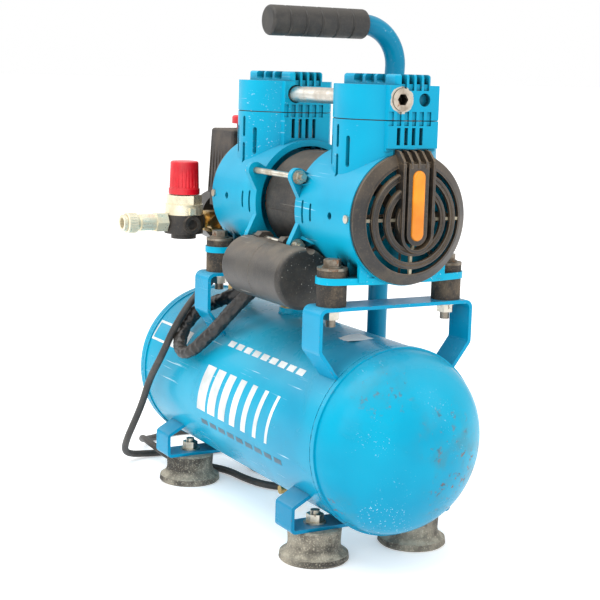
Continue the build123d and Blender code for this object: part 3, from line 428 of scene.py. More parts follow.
# One material's nodes, with short calls for the patterns this machine needs
class finishTree:
    def __init__(self, name, metallic=0.0, roughness=0.5, coat=0.0, bumpDepth=0.0003):
        self.material = bpy.data.materials.new(name)
        self.material.use_nodes = True
        self.tree = self.material.node_tree
        self.tree.nodes.clear()
        output = self.tree.nodes.new("ShaderNodeOutputMaterial")
        self.shader = self.tree.nodes.new("ShaderNodeBsdfPrincipled")
        self.tree.links.new(self.shader.outputs["BSDF"], output.inputs["Surface"])
        self.shader.inputs["Metallic"].default_value = metallic
        self.shader.inputs["Roughness"].default_value = roughness
        if coat:
            self.shader.inputs["Coat Weight"].default_value = coat
            self.shader.inputs["Coat Roughness"].default_value = 0.12
        self.place = self.tree.nodes.new("ShaderNodeTexCoord").outputs["Object"]
        self.bumpDepth = bumpDepth

    def put(self, socket, value):
        if isinstance(value, bpy.types.NodeSocket):
            self.tree.links.new(value, socket)
        elif value is not None:
            socket.default_value = value

    def stretched(self, scale, turn=(0.0, 0.0, 0.0), shift=(0.0, 0.0, 0.0)):
        mapping = self.tree.nodes.new("ShaderNodeMapping")
        self.put(mapping.inputs["Vector"], self.place)
        self.put(mapping.inputs["Scale"], scale)
        self.put(mapping.inputs["Rotation"], turn)
        self.put(mapping.inputs["Location"], shift)
        return mapping.outputs["Vector"]

    def grain(self, scale, detail=4.0, rough=0.55, vector=None, twist=0.0):
        texture = self.tree.nodes.new("ShaderNodeTexNoise")
        self.put(texture.inputs["Vector"], vector or self.place)
        self.put(texture.inputs["Scale"], scale)
        self.put(texture.inputs["Detail"], detail)
        self.put(texture.inputs["Roughness"], rough)
        self.put(texture.inputs["Distortion"], twist)
        return texture.outputs["Fac"]

    # Distance to the nearest scattered point, and a random shade for each point
    def specks(self, scale, vector=None):
        texture = self.tree.nodes.new("ShaderNodeTexVoronoi")
        self.put(texture.inputs["Vector"], vector or self.place)
        self.put(texture.inputs["Scale"], scale)
        return texture.outputs["Distance"], texture.outputs["Color"]

    def ridges(self, scale, direction="X", twist=0.0):
        texture = self.tree.nodes.new("ShaderNodeTexWave")
        texture.wave_type = "BANDS"
        texture.bands_direction = direction
        self.put(texture.inputs["Vector"], self.place)
        self.put(texture.inputs["Scale"], scale)
        self.put(texture.inputs["Distortion"], twist)
        self.put(texture.inputs["Detail"], 1.0)
        return texture.outputs["Fac"]

    def ramp(self, value, low, high, bottom=0.0, top=1.0):
        node = self.tree.nodes.new("ShaderNodeMapRange")
        node.interpolation_type = "SMOOTHSTEP"
        self.put(node.inputs["Value"], value)
        self.put(node.inputs["From Min"], low)
        self.put(node.inputs["From Max"], high)
        self.put(node.inputs["To Min"], bottom)
        self.put(node.inputs["To Max"], top)
        return node.outputs["Result"]

    # Noise made a mask that rises from bottom to top between low and high
    def cloud(self, scale, low, high, bottom=0.0, top=1.0, detail=4.0, rough=0.55, **more):
        return self.ramp(self.grain(scale, detail, rough, **more), low, high, bottom, top)

    # Thin straight scratches, drawn out across the longest of the three scales
    def hairs(self, scale, low, high, turn, shift=(0.0, 0.0, 0.0), top=1.0):
        return self.cloud(1.0, low, high, 0.0, top, 2.0, 0.5, vector=self.stretched(scale, turn, shift))

    def maths(self, kind, first, second):
        node = self.tree.nodes.new("ShaderNodeMath")
        node.operation = kind
        node.use_clamp = kind in ("ADD", "SUBTRACT")
        self.put(node.inputs[0], first)
        self.put(node.inputs[1], second)
        return node.outputs["Value"]

    def both(self, first, second):
        return self.maths("MULTIPLY", first, second)

    def blendColour(self, share, first, second):
        node = self.tree.nodes.new("ShaderNodeMix")
        node.data_type = "RGBA"
        self.put(node.inputs["Factor"], share)
        self.put(node.inputs[6], first)
        self.put(node.inputs[7], second)
        return node.outputs[2]

    def upward(self, low=0.3, high=0.95):
        geometry = self.tree.nodes.new("ShaderNodeNewGeometry")
        parts = self.tree.nodes.new("ShaderNodeSeparateXYZ")
        self.put(parts.inputs[0], geometry.outputs["Normal"])
        return self.ramp(parts.outputs["Z"], low, high)

    # One inside a ball about a point, falling to none at its edge
    def near(self, centre, radius, soft=0.5):
        node = self.tree.nodes.new("ShaderNodeVectorMath")
        node.operation = "DISTANCE"
        self.put(node.inputs[0], self.place)
        self.put(node.inputs[1], centre)
        return self.ramp(node.outputs["Value"], radius, radius * soft)

    # One deep inside gaps and corners, none on open surfaces
    def hollow(self, reach=0.02, low=0.1, high=0.75):
        shade = self.tree.nodes.new("ShaderNodeAmbientOcclusion")
        shade.samples = 4
        self.put(shade.inputs["Distance"], reach)
        return self.ramp(shade.outputs["AO"], high, low)

    def edges(self, radius=0.0012, low=0.02, high=0.12):
        bevel = self.tree.nodes.new("ShaderNodeBevel")
        bevel.samples = 4
        self.put(bevel.inputs["Radius"], radius)
        geometry = self.tree.nodes.new("ShaderNodeNewGeometry")
        dot = self.tree.nodes.new("ShaderNodeVectorMath")
        dot.operation = "DOT_PRODUCT"
        self.put(dot.inputs[0], bevel.outputs["Normal"])
        self.put(dot.inputs[1], geometry.outputs["Normal"])
        return self.ramp(self.maths("SUBTRACT", 1.0, dot.outputs["Value"]), low, high)

    def finish(self, colour, roughness=None, height=None, strength=0.5, metallic=None):
        self.put(self.shader.inputs["Base Color"], colour)
        self.put(self.shader.inputs["Roughness"], roughness)
        self.put(self.shader.inputs["Metallic"], metallic)
        if height is not None:
            bump = self.tree.nodes.new("ShaderNodeBump")
            self.put(bump.inputs["Strength"], strength)
            self.put(bump.inputs["Distance"], self.bumpDepth)
            self.put(bump.inputs["Height"], height)
            self.put(self.shader.inputs["Normal"], bump.outputs["Normal"])
        return self.material


# Gloss paint with dust, hair scratches, small chips and rust where it is worn, and painted shade with some
# dirt in its gaps and hollows
def bluePaint(name, light, deep, wear):
    tree = finishTree(name, roughness=0.3, coat=0.05)
    tree.shader.inputs["Specular IOR Level"].default_value = 0.12
    colour = tree.blendColour(tree.cloud(7.0, 0.35, 0.65, detail=3.0), light, deep)
    smudge = tree.cloud(26.0, 0.5, 0.74, 0.0, wear["smudge"], 6.0, 0.62, twist=0.6)
    colour = tree.blendColour(smudge, colour, wear["smudgeColour"])
    dust = tree.both(tree.upward(), tree.cloud(48.0, 0.36, 0.7, 0.15, wear["dust"], 5.0))
    colour = tree.blendColour(dust, colour, wear["dustColour"])
    lines = None
    for turn, shift in (
        ((0.2, 0.5, 0.3), (0, 0, 0)),
        ((1.1, 0.2, 1.9), (4, 1, 2)),
        ((0.4, 1.3, 0.9), (1, 7, 3)),
    ):
        hair = tree.hairs((9.0, 560.0, 560.0), 0.69, 0.74, turn, shift)
        lines = hair if lines is None else tree.maths("MAXIMUM", lines, hair)
    wornPlace = tree.stretched((1, 1, 1), shift=(3, 3, 3))
    worn = tree.cloud(15.0, 0.48, 0.62, 0.0, wear["scratch"], 3.0, vector=wornPlace)
    scratches = tree.both(lines, worn)
    colour = tree.blendColour(scratches, colour, wear["scratchColour"])
    distance, shade = tree.specks(wear["chipScale"])
    chosen = tree.ramp(shade, 1.0 - wear["chipShare"], 1.0 - wear["chipShare"] + 0.02)
    chips = tree.both(tree.ramp(distance, 0.2, 0.13), chosen)
    edgeWear = tree.both(tree.edges(), tree.cloud(95.0, 0.56, 0.62, 0.0, wear["edge"], 5.0, 0.7))
    bare = tree.maths("MAXIMUM", chips, edgeWear)
    for centre, radius, amount in wear["bareRings"]:
        ragged = tree.cloud(150.0, 0.3, 0.7, -0.6, 0.2, 5.0, 0.7)
        ring = tree.maths("ADD", tree.near(centre, radius, 0.8), ragged)
        colour = tree.blendColour(tree.ramp(ring, 0.35, 0.55, 0.0, amount), colour, wear["ringColour"])
    for centre, radius, amount in wear["rustSpots"]:
        patch = tree.both(tree.near(centre, radius), tree.cloud(130.0, 0.56, 0.64, 0.0, amount, 6.0, 0.7))
        bare = tree.maths("MAXIMUM", bare, patch)
        stain = tree.both(tree.near(centre, radius * 1.15), tree.cloud(40.0, 0.45, 0.7, 0.0, 0.45 * amount))
        colour = tree.blendColour(stain, colour, wear["stainColour"])
    # Painted shade with some dirt: the paint darkens where ambient occlusion finds gaps, hollows and the
    # insides of castings
    gapShadeAndGrime = tree.both(tree.hollow(wear["gapReach"]), wear["gapShadeAndDirt"])
    colour = tree.blendColour(gapShadeAndGrime, colour, wear["gapShadeAndDirtColour"])
    bareColour = tree.blendColour(
        tree.cloud(300.0, 0.4, 0.6, detail=3.0), wear["chipColour"], wear["rustColour"]
    )
    colour = tree.blendColour(bare, colour, bareColour)
    matt = tree.maths("ADD", tree.maths("ADD", smudge, dust), scratches)
    peel = tree.cloud(520.0, 0.2, 0.8, 0.0, 0.16, 2.0)
    height = tree.maths("SUBTRACT", tree.maths("ADD", peel, 0.7), tree.both(bare, 0.6))
    return tree.finish(colour, tree.ramp(matt, 0.0, 1.0, wear["gloss"], 0.75), height, 0.35)


# Moulded plastic or rubber: fine grain, dust on what faces up and in patches, pale rubbed edges
def dustyPlastic(name, base, dustColour, values):
    tree = finishTree(name, roughness=values["rough"], bumpDepth=0.00025)
    darker = tuple(0.62 * channel for channel in base[:3]) + (1.0,)
    colour = tree.blendColour(tree.cloud(30.0, 0.3, 0.7), base, darker)
    patches = tree.cloud(values["patchScale"], 0.42, 0.68, 0.0, values["patch"], 6.0, 0.65)
    lying = tree.both(tree.upward(0.1, 0.9), tree.cloud(90.0, 0.3, 0.65, 0.3, values["dust"]))
    grit = tree.cloud(700.0, 0.52, 0.72, 0.0, values["grit"], 2.0)
    dust = tree.maths("ADD", tree.maths("MAXIMUM", patches, lying), grit)
    colour = tree.blendColour(dust, colour, dustColour)
    if values.get("scratch"):
        hair = tree.hairs((12.0, 560.0, 560.0), 0.68, 0.74, (0.5, 0.3, 0.9))
        where = tree.cloud(18.0, 0.46, 0.62, 0.0, values["scratch"], 3.0)
        colour = tree.blendColour(tree.both(hair, where), colour, screen(206, 200, 190))
    if values.get("edge"):
        rub = tree.both(tree.edges(0.0009), tree.cloud(60.0, 0.35, 0.6, 0.2, values["edge"], 3.0))
        colour = tree.blendColour(rub, colour, dustColour)
    roughness = tree.ramp(dust, 0.0, 1.0, values["rough"], min(0.95, values["rough"] + 0.3))
    fine = tree.cloud(1100.0, 0.2, 0.8, 0.0, 0.6, 2.0)
    height = tree.maths("ADD", fine, tree.cloud(160.0, 0.2, 0.8, 0.0, 0.4, 3.0))
    return tree.finish(colour, roughness, height, values.get("bump", 0.35))


# Bare or plated metal with tarnish, fine scratches and, where wanted, rust and painted shade in hollows
def oldMetal(name, base, tarnish, values):
    shine = values.get("metallic", 1.0)
    tree = finishTree(name, metallic=shine, roughness=values["rough"])
    tone = tree.cloud(60.0, 0.38, 0.66, detail=5.0, rough=0.6)
    colour = tree.blendColour(tree.both(tone, values["tarnish"]), base, tarnish)
    hair = tree.hairs((40.0, 900.0, 900.0), 0.6, 0.7, (0.3, 0.2, 0.6), top=0.35)
    colour = tree.blendColour(hair, colour, tarnish)
    amount = values["rust"]
    rust = tree.cloud(170.0, 0.66 - 0.3 * amount, 0.74 - 0.26 * amount, detail=6.0, rough=0.7)
    rust = tree.both(rust, 1.0 if amount else 0.0)
    rustShade = tree.blendColour(
        tree.cloud(420.0, 0.4, 0.6, detail=3.0), screen(92, 58, 36), screen(139, 92, 55)
    )
    colour = tree.blendColour(rust, colour, rustShade)
    # Painted shade: a near-black colour where ambient occlusion finds hollows
    if values.get("gap"):
        colour = tree.blendColour(tree.both(tree.hollow(0.01), values["gap"]), colour, screen(22, 19, 17))
    dull = min(0.95, values["rough"] + 0.35)
    roughness = tree.ramp(tree.maths("ADD", tone, rust), 0.0, 1.6, values["rough"], dull)
    height = tree.maths("ADD", tree.cloud(600.0, 0.2, 0.8, 0.0, 0.3, 3.0), tree.both(rust, 0.5))
    return tree.finish(colour, roughness, height, 0.4, tree.ramp(rust, 0.0, 1.0, shine, 0.1))


tankWear = {
    "smudge": 0.18,
    "smudgeColour": screen(30, 116, 140),
    "dust": 0.07,
    "dustColour": screen(140, 172, 180),
    "scratch": 1.0,
    "scratchColour": screen(196, 224, 232),
    "chipScale": 105.0,
    "chipShare": 0.05,
    "edge": 0.6,
    "rustSpots": [
        ((0.205, 0.045, 0.075), 0.05, 0.9),
        ((0.215, 0.02, 0.12), 0.035, 0.55),
        ((0.17, -0.055, 0.045), 0.04, 0.6),
        ((0.192, -0.03, 0.155), 0.03, 0.5),
    ],
    "bareRings": [],
    "ringColour": screen(196, 186, 170),
    "stainColour": screen(72, 112, 120),
    "chipColour": screen(70, 64, 58),
    "rustColour": screen(118, 72, 40),
    "gloss": 0.26,
    # Painted shade with some dirt in gaps and hollows: its reach, strength and colour
    "gapReach": 0.012,
    "gapShadeAndDirt": 0.25,
    "gapShadeAndDirtColour": screen(30, 58, 66),
}
pumpWear = dict(
    tankWear,
    smudge=0.12,
    dust=0.1,
    scratch=0.45,
    chipScale=150.0,
    chipShare=0.012,
    edge=0.5,
    rustSpots=[],
    bareRings=[((0.1775, -0.012, 0.384), 0.012, 0.9)],
    gloss=0.34,
    # Near-black painted shade deep inside the pump's hollows, with some dirt
    gapReach=0.022,
    gapShadeAndDirt=0.97,
    gapShadeAndDirtColour=screen(16, 26, 30),
)
strapWear = dict(tankWear, scratch=0.5, chipShare=0.03, chipScale=140.0, rustSpots=[], dust=0.3, edge=0.9)
handleWear = dict(tankWear, scratch=0.6, chipShare=0.03, rustSpots=[], dust=0.15, gloss=0.3)

finishes = {
    "tankBlue": bluePaint("tankBlue", screen(0, 158, 192), screen(0, 138, 174), tankWear),
    "strapBlue": bluePaint("strapBlue", screen(0, 146, 186), screen(0, 124, 164), strapWear),
    "pumpBlue": bluePaint("pumpBlue", screen(0, 164, 198), screen(0, 146, 182), pumpWear),
    "handleBlue": bluePaint("handleBlue", screen(0, 124, 158), screen(0, 104, 138), handleWear),
}
plastics = {  # base colour, dust colour, and how much of each kind of wear
    "footRubber": (
        screen(64, 60, 54),
        screen(180, 172, 154),
        dict(rough=0.8, patchScale=22.0, patch=0.7, dust=0.95, grit=0.5, edge=0.5, bump=0.6),
    ),
    "mountRubber": (
        screen(44, 40, 36),
        screen(118, 102, 82),
        dict(rough=0.75, patchScale=50.0, patch=0.55, dust=0.7, grit=0.35),
    ),
    "gripRubber": (
        screen(34, 33, 32),
        screen(92, 86, 78),
        dict(rough=0.5, patchScale=60.0, patch=0.25, dust=0.35, grit=0.15, edge=0.3, bump=0.5),
    ),
    "coverBlack": (
        screen(38, 35, 33),
        screen(150, 128, 100),
        dict(rough=0.36, patchScale=34.0, patch=0.14, dust=0.4, grit=0.1, edge=0.5),
    ),
    "housingBlack": (
        screen(46, 44, 42),
        screen(126, 116, 102),
        dict(rough=0.42, patchScale=20.0, patch=0.16, dust=0.6, grit=0.12, edge=0.5, scratch=0.8),
    ),
    "switchBlack": (
        screen(42, 39, 37),
        screen(112, 100, 86),
        dict(rough=0.6, patchScale=40.0, patch=0.3, dust=0.5, grit=0.2, edge=0.4),
    ),
    "sleeveVinyl": (
        screen(26, 25, 25),
        screen(98, 90, 82),
        dict(rough=0.32, patchScale=55.0, patch=0.14, dust=0.2, grit=0.06, bump=0.25),
    ),
    "leadRubber": (
        screen(44, 43, 42),
        screen(108, 100, 90),
        dict(rough=0.48, patchScale=35.0, patch=0.3, dust=0.3, grit=0.15),
    ),
    "statorBlack": (
        screen(34, 33, 32),
        screen(112, 102, 90),
        dict(rough=0.6, patchScale=40.0, patch=0.22, dust=0.5, grit=0.2, bump=0.5, scratch=0.4),
    ),
    "knobRed": (
        screen(230, 8, 34),
        screen(226, 120, 120),
        dict(rough=0.34, patchScale=70.0, patch=0.08, dust=0.12, grit=0.03, edge=0.15),
    ),
    "insertOrange": (
        screen(252, 146, 0),
        screen(240, 170, 80),
        dict(rough=0.28, patchScale=50.0, patch=0.12, dust=0.12, grit=0.03, bump=0.12),
    ),
    "dialWhite": (
        screen(232, 230, 222),
        screen(190, 180, 160),
        dict(rough=0.5, patchScale=60.0, patch=0.15, dust=0.1, grit=0.05, bump=0.1),
    ),
    "needleRed": (
        screen(190, 28, 22),
        screen(150, 70, 60),
        dict(rough=0.4, patchScale=80.0, patch=0.1, dust=0.1, grit=0.02, bump=0.1),
    ),
    "markInk": (
        screen(24, 24, 26),
        screen(60, 60, 60),
        dict(rough=0.5, patchScale=80.0, patch=0.1, dust=0.1, grit=0.02, bump=0.1),
    ),
    "decalWhite": (
        screen(236, 240, 240),
        screen(170, 184, 184),
        dict(rough=0.4, patchScale=30.0, patch=0.3, dust=0.2, grit=0.2, bump=0.08),
    ),
    "decalGrey": (
        screen(58, 96, 116),
        screen(92, 128, 140),
        dict(rough=0.45, patchScale=60.0, patch=0.5, dust=0.2, grit=0.2, bump=0.08),
    ),
    "spokePale": (
        screen(168, 160, 138),
        screen(206, 198, 172),
        dict(rough=0.6, patchScale=90.0, patch=0.5, dust=0.5, grit=0.2),
    ),
    "paperWhite": (
        screen(255, 255, 255),
        screen(206, 204, 196),
        dict(rough=0.7, patchScale=60.0, patch=0.2, dust=0.15, grit=0.1, bump=0.1),
    ),
    "gaugeBlack": (
        screen(26, 26, 27),
        screen(86, 80, 72),
        dict(rough=0.35, patchScale=50.0, patch=0.2, dust=0.4, grit=0.1, edge=0.3),
    ),
}
metals = {  # clean colour, tarnish colour, and how much of each kind of wear and of painted shade in hollows
    "zincPlate": (
        screen(206, 202, 190),
        screen(150, 140, 118),
        dict(rough=0.3, tarnish=0.6, rust=0.25),
    ),
    "rustyBolt": (
        screen(150, 142, 130),
        screen(104, 92, 78),
        dict(rough=0.5, tarnish=0.8, rust=0.4),
    ),
    "turnedSteel": (
        screen(190, 190, 192),
        screen(140, 138, 134),
        dict(rough=0.25, tarnish=0.4, rust=0.0),
    ),
    "chippedPlug": (
        screen(188, 178, 164),
        screen(120, 104, 88),
        # gap sets how strongly painted shade darkens the plugs' hollows
        dict(rough=0.5, tarnish=0.6, rust=0.15, gap=0.97),
    ),
    "nickelPlate": (
        screen(240, 232, 206),
        screen(188, 174, 140),
        dict(rough=0.26, tarnish=0.4, rust=0.0, metallic=0.55),
    ),
    "castAluminium": (
        screen(222, 216, 206),
        screen(170, 160, 146),
        dict(rough=0.32, tarnish=0.5, rust=0.0),
    ),
    "dullBrass": (
        screen(196, 164, 104),
        screen(126, 100, 60),
        dict(rough=0.34, tarnish=0.8, rust=0.0),
    ),
}
finishes.update({name: dustyPlastic(name, *row) for name, row in plastics.items()})
finishes.update({name: oldMetal(name, *row) for name, row in metals.items()})


# Enamelled wire: fine turns side by side, darker at random and with painted shade in the grooves between
# turns
def copperWinding():
    tree = finishTree("copperWire", metallic=0.85, roughness=0.35)
    turns = tree.ridges(520.0, "X", 0.4)
    tone = tree.cloud(40.0, 0.35, 0.7, detail=5.0)
    colour = tree.blendColour(tone, screen(206, 118, 66), screen(120, 66, 40))
    # Painted shade: a dark colour in the grooves between the turns
    colour = tree.blendColour(tree.ramp(turns, 0.0, 0.45, 0.7, 0.0), colour, screen(58, 34, 24))
    return tree.finish(colour, tree.ramp(tone, 0.0, 1.0, 0.3, 0.6), turns, 0.8)


def clearLens():
    tree = finishTree("clearLens", roughness=0.06)
    tree.shader.inputs["Transmission Weight"].default_value = 1.0
    tree.shader.inputs["IOR"].default_value = 1.46
    haze = tree.cloud(60.0, 0.4, 0.75, 0.04, 0.3, 5.0)
    return tree.finish((0.93, 0.96, 0.97, 1.0), haze)


finishes["copperWire"] = copperWinding()
finishes["clearLens"] = clearLens()

nodeFinish = {
    "tankBlue": ["tank_barrel", "tank_domes"],
    "strapBlue": ["pump_brackets", "foot_brackets"],
    "handleBlue": ["handle_tube"],
    "pumpBlue": ["crankcase_front", "crankcase_rear", "head_cover_front", "head_cover_rear"],
    "footRubber": ["rubber_feet"],
    "mountRubber": ["mount_rubbers", "valve_plates"],
    "gripRubber": ["handle_grip"],
    "coverBlack": ["fan_cover_front", "fan_cover_rear", "cooling_fans"],
    "housingBlack": ["capacitor_housing_front", "capacitor_housing_rear", "capacitor_clips"],
    "switchBlack": [
        "pressure_switch_base",
        "pressure_switch_cover",
        "cable_gland",
        "regulator_body",
    ],
    "statorBlack": ["motor_stator"],
    "knobRed": ["switch_knob", "regulator_knob"],
    "insertOrange": ["accent_inserts"],
    "zincPlate": ["foot_bolts", "tie_rods", "hex_nuts", "barrel_screws"],
    "rustyBolt": ["mount_bolts"],
    "chippedPlug": ["port_plugs"],
    "turnedSteel": ["shaft_bearings", "motor_rotor", "safety_valve_pin"],
    "castAluminium": [
        "link_pipe",
        "delivery_pipe",
        "cylinder_liners",
        "piston_front",
        "piston_rear",
        "capacitor",
    ],
    "dullBrass": [
        "drain_valve_body",
        "drain_valve_knob",
        "check_valve",
        "manifold",
        "brass_tee",
        "safety_valve_body",
    ],
    "nickelPlate": ["coupler_body", "coupler_sleeve", "regulator_bonnet"],
    "gaugeBlack": ["gauge_case"],
    "dialWhite": ["gauge_dial"],
    "needleRed": ["gauge_needle"],
    "clearLens": ["gauge_lens"],
    "copperWire": ["stator_windings"],
    "sleeveVinyl": ["motor_lead_sleeve"],
    "leadRubber": ["power_cord", "power_cord_coil", "power_plug"],
}
for finishName, members in nodeFinish.items():
    for member in members:
        if not nodes[member].material_slots:
            nodes[member].data.materials.append(finishes[finishName])
        for slot in nodes[member].material_slots:
            slot.material = finishes[finishName]
print("finishes given to the carried pieces")


# Finish, body and material slot for a made piece
def give(piece, finishName, body):
    piece.data.materials.clear()
    piece.data.materials.append(finishes[finishName])
    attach(piece, body)
    return piece


# Cords take their finishes
give(mainsPlug, "leadRubber", "frame")
give(plugPinPair, "nickelPlate", "frame")
give(glandBoot, "leadRubber", "frame")
give(mainsLead, "leadRubber", "frame")
give(leadSleeve, "sleeveVinyl", "frame")
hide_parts("power_cord", "power_cord_coil")
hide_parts("power_plug")
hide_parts("motor_lead_sleeve")


# Rows made with Geometry Nodes
# Items set evenly on a circle, each turned to face outwards and varied a little
def roundRowTree(name, material):
    tree = bpy.data.node_groups.new(name, "GeometryNodeTree")
    tree.interface.new_socket("Geometry", in_out="OUTPUT", socket_type="NodeSocketGeometry")
    wanted = {
        "Ring Radius": ("NodeSocketFloat", 0.05),
        "Item Count": ("NodeSocketInt", 24),
        "Item Size": ("NodeSocketVector", (0.001, 0.001, 0.001)),
        "Size Variation": ("NodeSocketFloat", 0.1),
        "Seed": ("NodeSocketInt", 3),
    }
    for label, (kind, value) in wanted.items():
        socket = tree.interface.new_socket(label, in_out="INPUT", socket_type=kind)
        socket.default_value = value
    add, link = tree.nodes.new, tree.links.new
    given = add("NodeGroupInput")
    circle = add("GeometryNodeCurvePrimitiveCircle")
    circle.inputs["Resolution"].default_value = 128
    link(given.outputs["Ring Radius"], circle.inputs["Radius"])
    spread = add("GeometryNodeCurveToPoints")
    spread.mode = "COUNT"
    link(circle.outputs["Curve"], spread.inputs["Curve"])
    link(given.outputs["Item Count"], spread.inputs["Count"])
    item = add("GeometryNodeMeshIcoSphere")
    item.inputs["Radius"].default_value = 0.5
    item.inputs["Subdivisions"].default_value = 2
    turn = add("FunctionNodeAlignRotationToVector")
    turn.axis = "X"
    turn.pivot_axis = "Z"
    place = add("GeometryNodeInputPosition")
    link(place.outputs["Position"], turn.inputs["Vector"])
    vary = add("FunctionNodeRandomValue")
    vary.data_type = "FLOAT"
    low = add("ShaderNodeMath")
    low.operation = "SUBTRACT"
    low.inputs[0].default_value = 1.0
    link(given.outputs["Size Variation"], low.inputs[1])
    high = add("ShaderNodeMath")
    high.operation = "ADD"
    high.inputs[0].default_value = 1.0
    link(given.outputs["Size Variation"], high.inputs[1])
    link(low.outputs["Value"], vary.inputs[2])
    link(high.outputs["Value"], vary.inputs[3])
    link(given.outputs["Seed"], vary.inputs["Seed"])
    size = add("ShaderNodeVectorMath")
    size.operation = "SCALE"
    link(given.outputs["Item Size"], size.inputs[0])
    link(vary.outputs[1], size.inputs["Scale"])
    rows = add("GeometryNodeInstanceOnPoints")
    link(spread.outputs["Points"], rows.inputs["Points"])
    link(item.outputs["Mesh"], rows.inputs["Instance"])
    link(turn.outputs["Rotation"], rows.inputs["Rotation"])
    link(size.outputs["Vector"], rows.inputs["Scale"])
    real = add("GeometryNodeRealizeInstances")
    link(rows.outputs["Instances"], real.inputs["Geometry"])
    painted = add("GeometryNodeSetMaterial")
    painted.inputs["Material"].default_value = material
    link(real.outputs["Geometry"], painted.inputs["Geometry"])
    link(painted.outputs["Geometry"], add("NodeGroupOutput").inputs["Geometry"])
    return tree


beadTree = roundRowTree("beadRow", finishes["tankBlue"])


# The row as one plain mesh, lying on the X-Y plane about the origin
def roundRow(name, tree, values):
    row = bpy.data.objects.new(name, bpy.data.meshes.new(name))
    scene.collection.objects.link(row)
    modifier = row.modifiers.new("row", "NODES")
    modifier.node_group = tree
    for socket in tree.interface.items_tree:
        if socket.in_out == "INPUT" and socket.name in values:
            modifier[socket.identifier] = values[socket.name]
    bpy.context.view_layer.update()
    made = bpy.data.meshes.new_from_object(row.evaluated_get(bpy.context.evaluated_depsgraph_get()))
    row.modifiers.remove(modifier)
    row.data = made
    return row


# A row moved so that its axis points along axis, at place in mm
def rowAt(name, tree, values, place, axis, smooth=True):
    row = roundRow(name, tree, values)
    turned = Vector(axis).to_track_quat("Z", "Y").to_matrix().to_4x4()
    row.data.transform(Matrix.Translation(Vector(place) * mm) @ turned)
    for face in row.data.polygons:
        face.use_smooth = smooth
    return row


# Weld ripples at the dome seams and the bungs
weldValues = {"tankAxis": 106.5, "tankRadius": 78.0, "seams": (167.0, -177.0)}
welds = []
for number, seam in enumerate(weldValues["seams"]):
    welds.append(
        rowAt(
            f"seamWeld{number}",
            beadTree,
            {
                "Ring Radius": (weldValues["tankRadius"] + 0.45) * mm,
                "Item Count": 250,
                "Item Size": (1.9 * mm, 2.9 * mm, 5.0 * mm),
                "Size Variation": 0.12,
                "Seed": 5 + number,
            },
            (seam, 0.0, weldValues["tankAxis"]),
            (1, 0, 0),
        )
    )
for number, bungX in enumerate((-120.0, -12.0)):
    welds.append(
        rowAt(
            f"bungWeld{number}",
            beadTree,
            {
                "Ring Radius": 11.9 * mm,
                "Item Count": 36,
                "Item Size": (2.2 * mm, 2.6 * mm, 2.2 * mm),
                "Size Variation": 0.15,
                "Seed": 11 + number,
            },
            (bungX, 0.0, 184.2),
            (0, 0, 1),
        )
    )
tankWelds = joined("tankWelds", welds)
for face in tankWelds.data.polygons:
    face.use_smooth = True
give(tankWelds, "tankBlue", "frame")
print("weld ripples made:", len(tankWelds.data.polygons), "faces")


# Dusty spokes behind the fan covers' rings: each row is a span of X from the pump's middle, of Y and
# of Z from the shaft, in mm
spokeValues = {"pumpX": 49.3, "shaftZ": 290.4, "skin": 0.2}
spokeRows = [
    ((129.0, 131.0), (14.0, 45.0), (-1.0, 1.0)),
    ((131.5, 133.5), (9.0, 13.6), (-1.0, 1.0)),
    ((131.5, 133.5), (9.0, 13.6), (26.0, 28.0)),
    ((129.0, 131.0), (-1.0, 1.0), (-44.8, -24.4)),
    ((131.5, 133.5), (-1.0, 1.0), (-25.4, -18.9)),
]
boxFaces = [(0, 1, 3, 2), (4, 6, 7, 5), (0, 4, 5, 1), (2, 3, 7, 6), (0, 2, 6, 4), (1, 5, 7, 3)]
spokes = []
for outward in (-1, 1):
    for side in (-1, 1):
        for spanX, spanY, spanZ in spokeRows:
            skin = spokeValues["skin"]
            grown = [(low - skin, high + skin) for low, high in (spanX, spanY, spanZ)]
            corners = [
                (
                    (spokeValues["pumpX"] + outward * x) * mm,
                    side * y * mm,
                    (spokeValues["shaftZ"] + z) * mm,
                )
                for x in grown[0]
                for y in grown[1]
                for z in grown[2]
            ]
            if spanY[0] > 0 or side > 0:
                spokes.append(meshObject("spoke", corners, boxFaces, False))
coverSpokes = joined("coverSpokes", spokes)
give(coverSpokes, "spokePale", "frame")
print("cover spokes made")


# Gauge dial
dialValues = {"x": -173.05, "z": 259.0, "radius": 19.6, "start": -135.0, "sweep": 270.0, "marks": 6}


# Spot on the dial seen from its own side; angle in degrees, clockwise from the top
def dialPoint(angle, radius, lift=0.0):
    turn = math.radians(angle)
    return Vector(
        (
            (dialValues["x"] - lift) * mm,
            -radius * math.sin(turn) * mm,
            (dialValues["z"] + radius * math.cos(turn)) * mm,
        )
    )


tickCorners, tickFaces = [], []
for number in range(51):
    angle = dialValues["start"] + dialValues["sweep"] * number / 50
    long = number % 10 == 0
    inner = dialValues["radius"] - (4.2 if long else 2.2)
    half = (0.34 if long else 0.16)
    start = len(tickCorners)
    for lift in (0.0, 0.12):
        for radius, side in ((inner, -1), (inner, 1), (dialValues["radius"], 1), (dialValues["radius"], -1)):
            spread = math.degrees(half / radius)
            tickCorners.append(dialPoint(angle + side * spread, radius, lift))
    for face in ((0, 1, 2, 3), (7, 6, 5, 4), (0, 4, 5, 1), (1, 5, 6, 2), (2, 6, 7, 3), (3, 7, 4, 0)):
        tickFaces.append(tuple(start + corner for corner in face))
dialTicks = meshObject("dialTicks", tickCorners, tickFaces, False)
dialTicks = joined("dialTicks", [dialTicks])
give(dialTicks, "markInk", "frame")

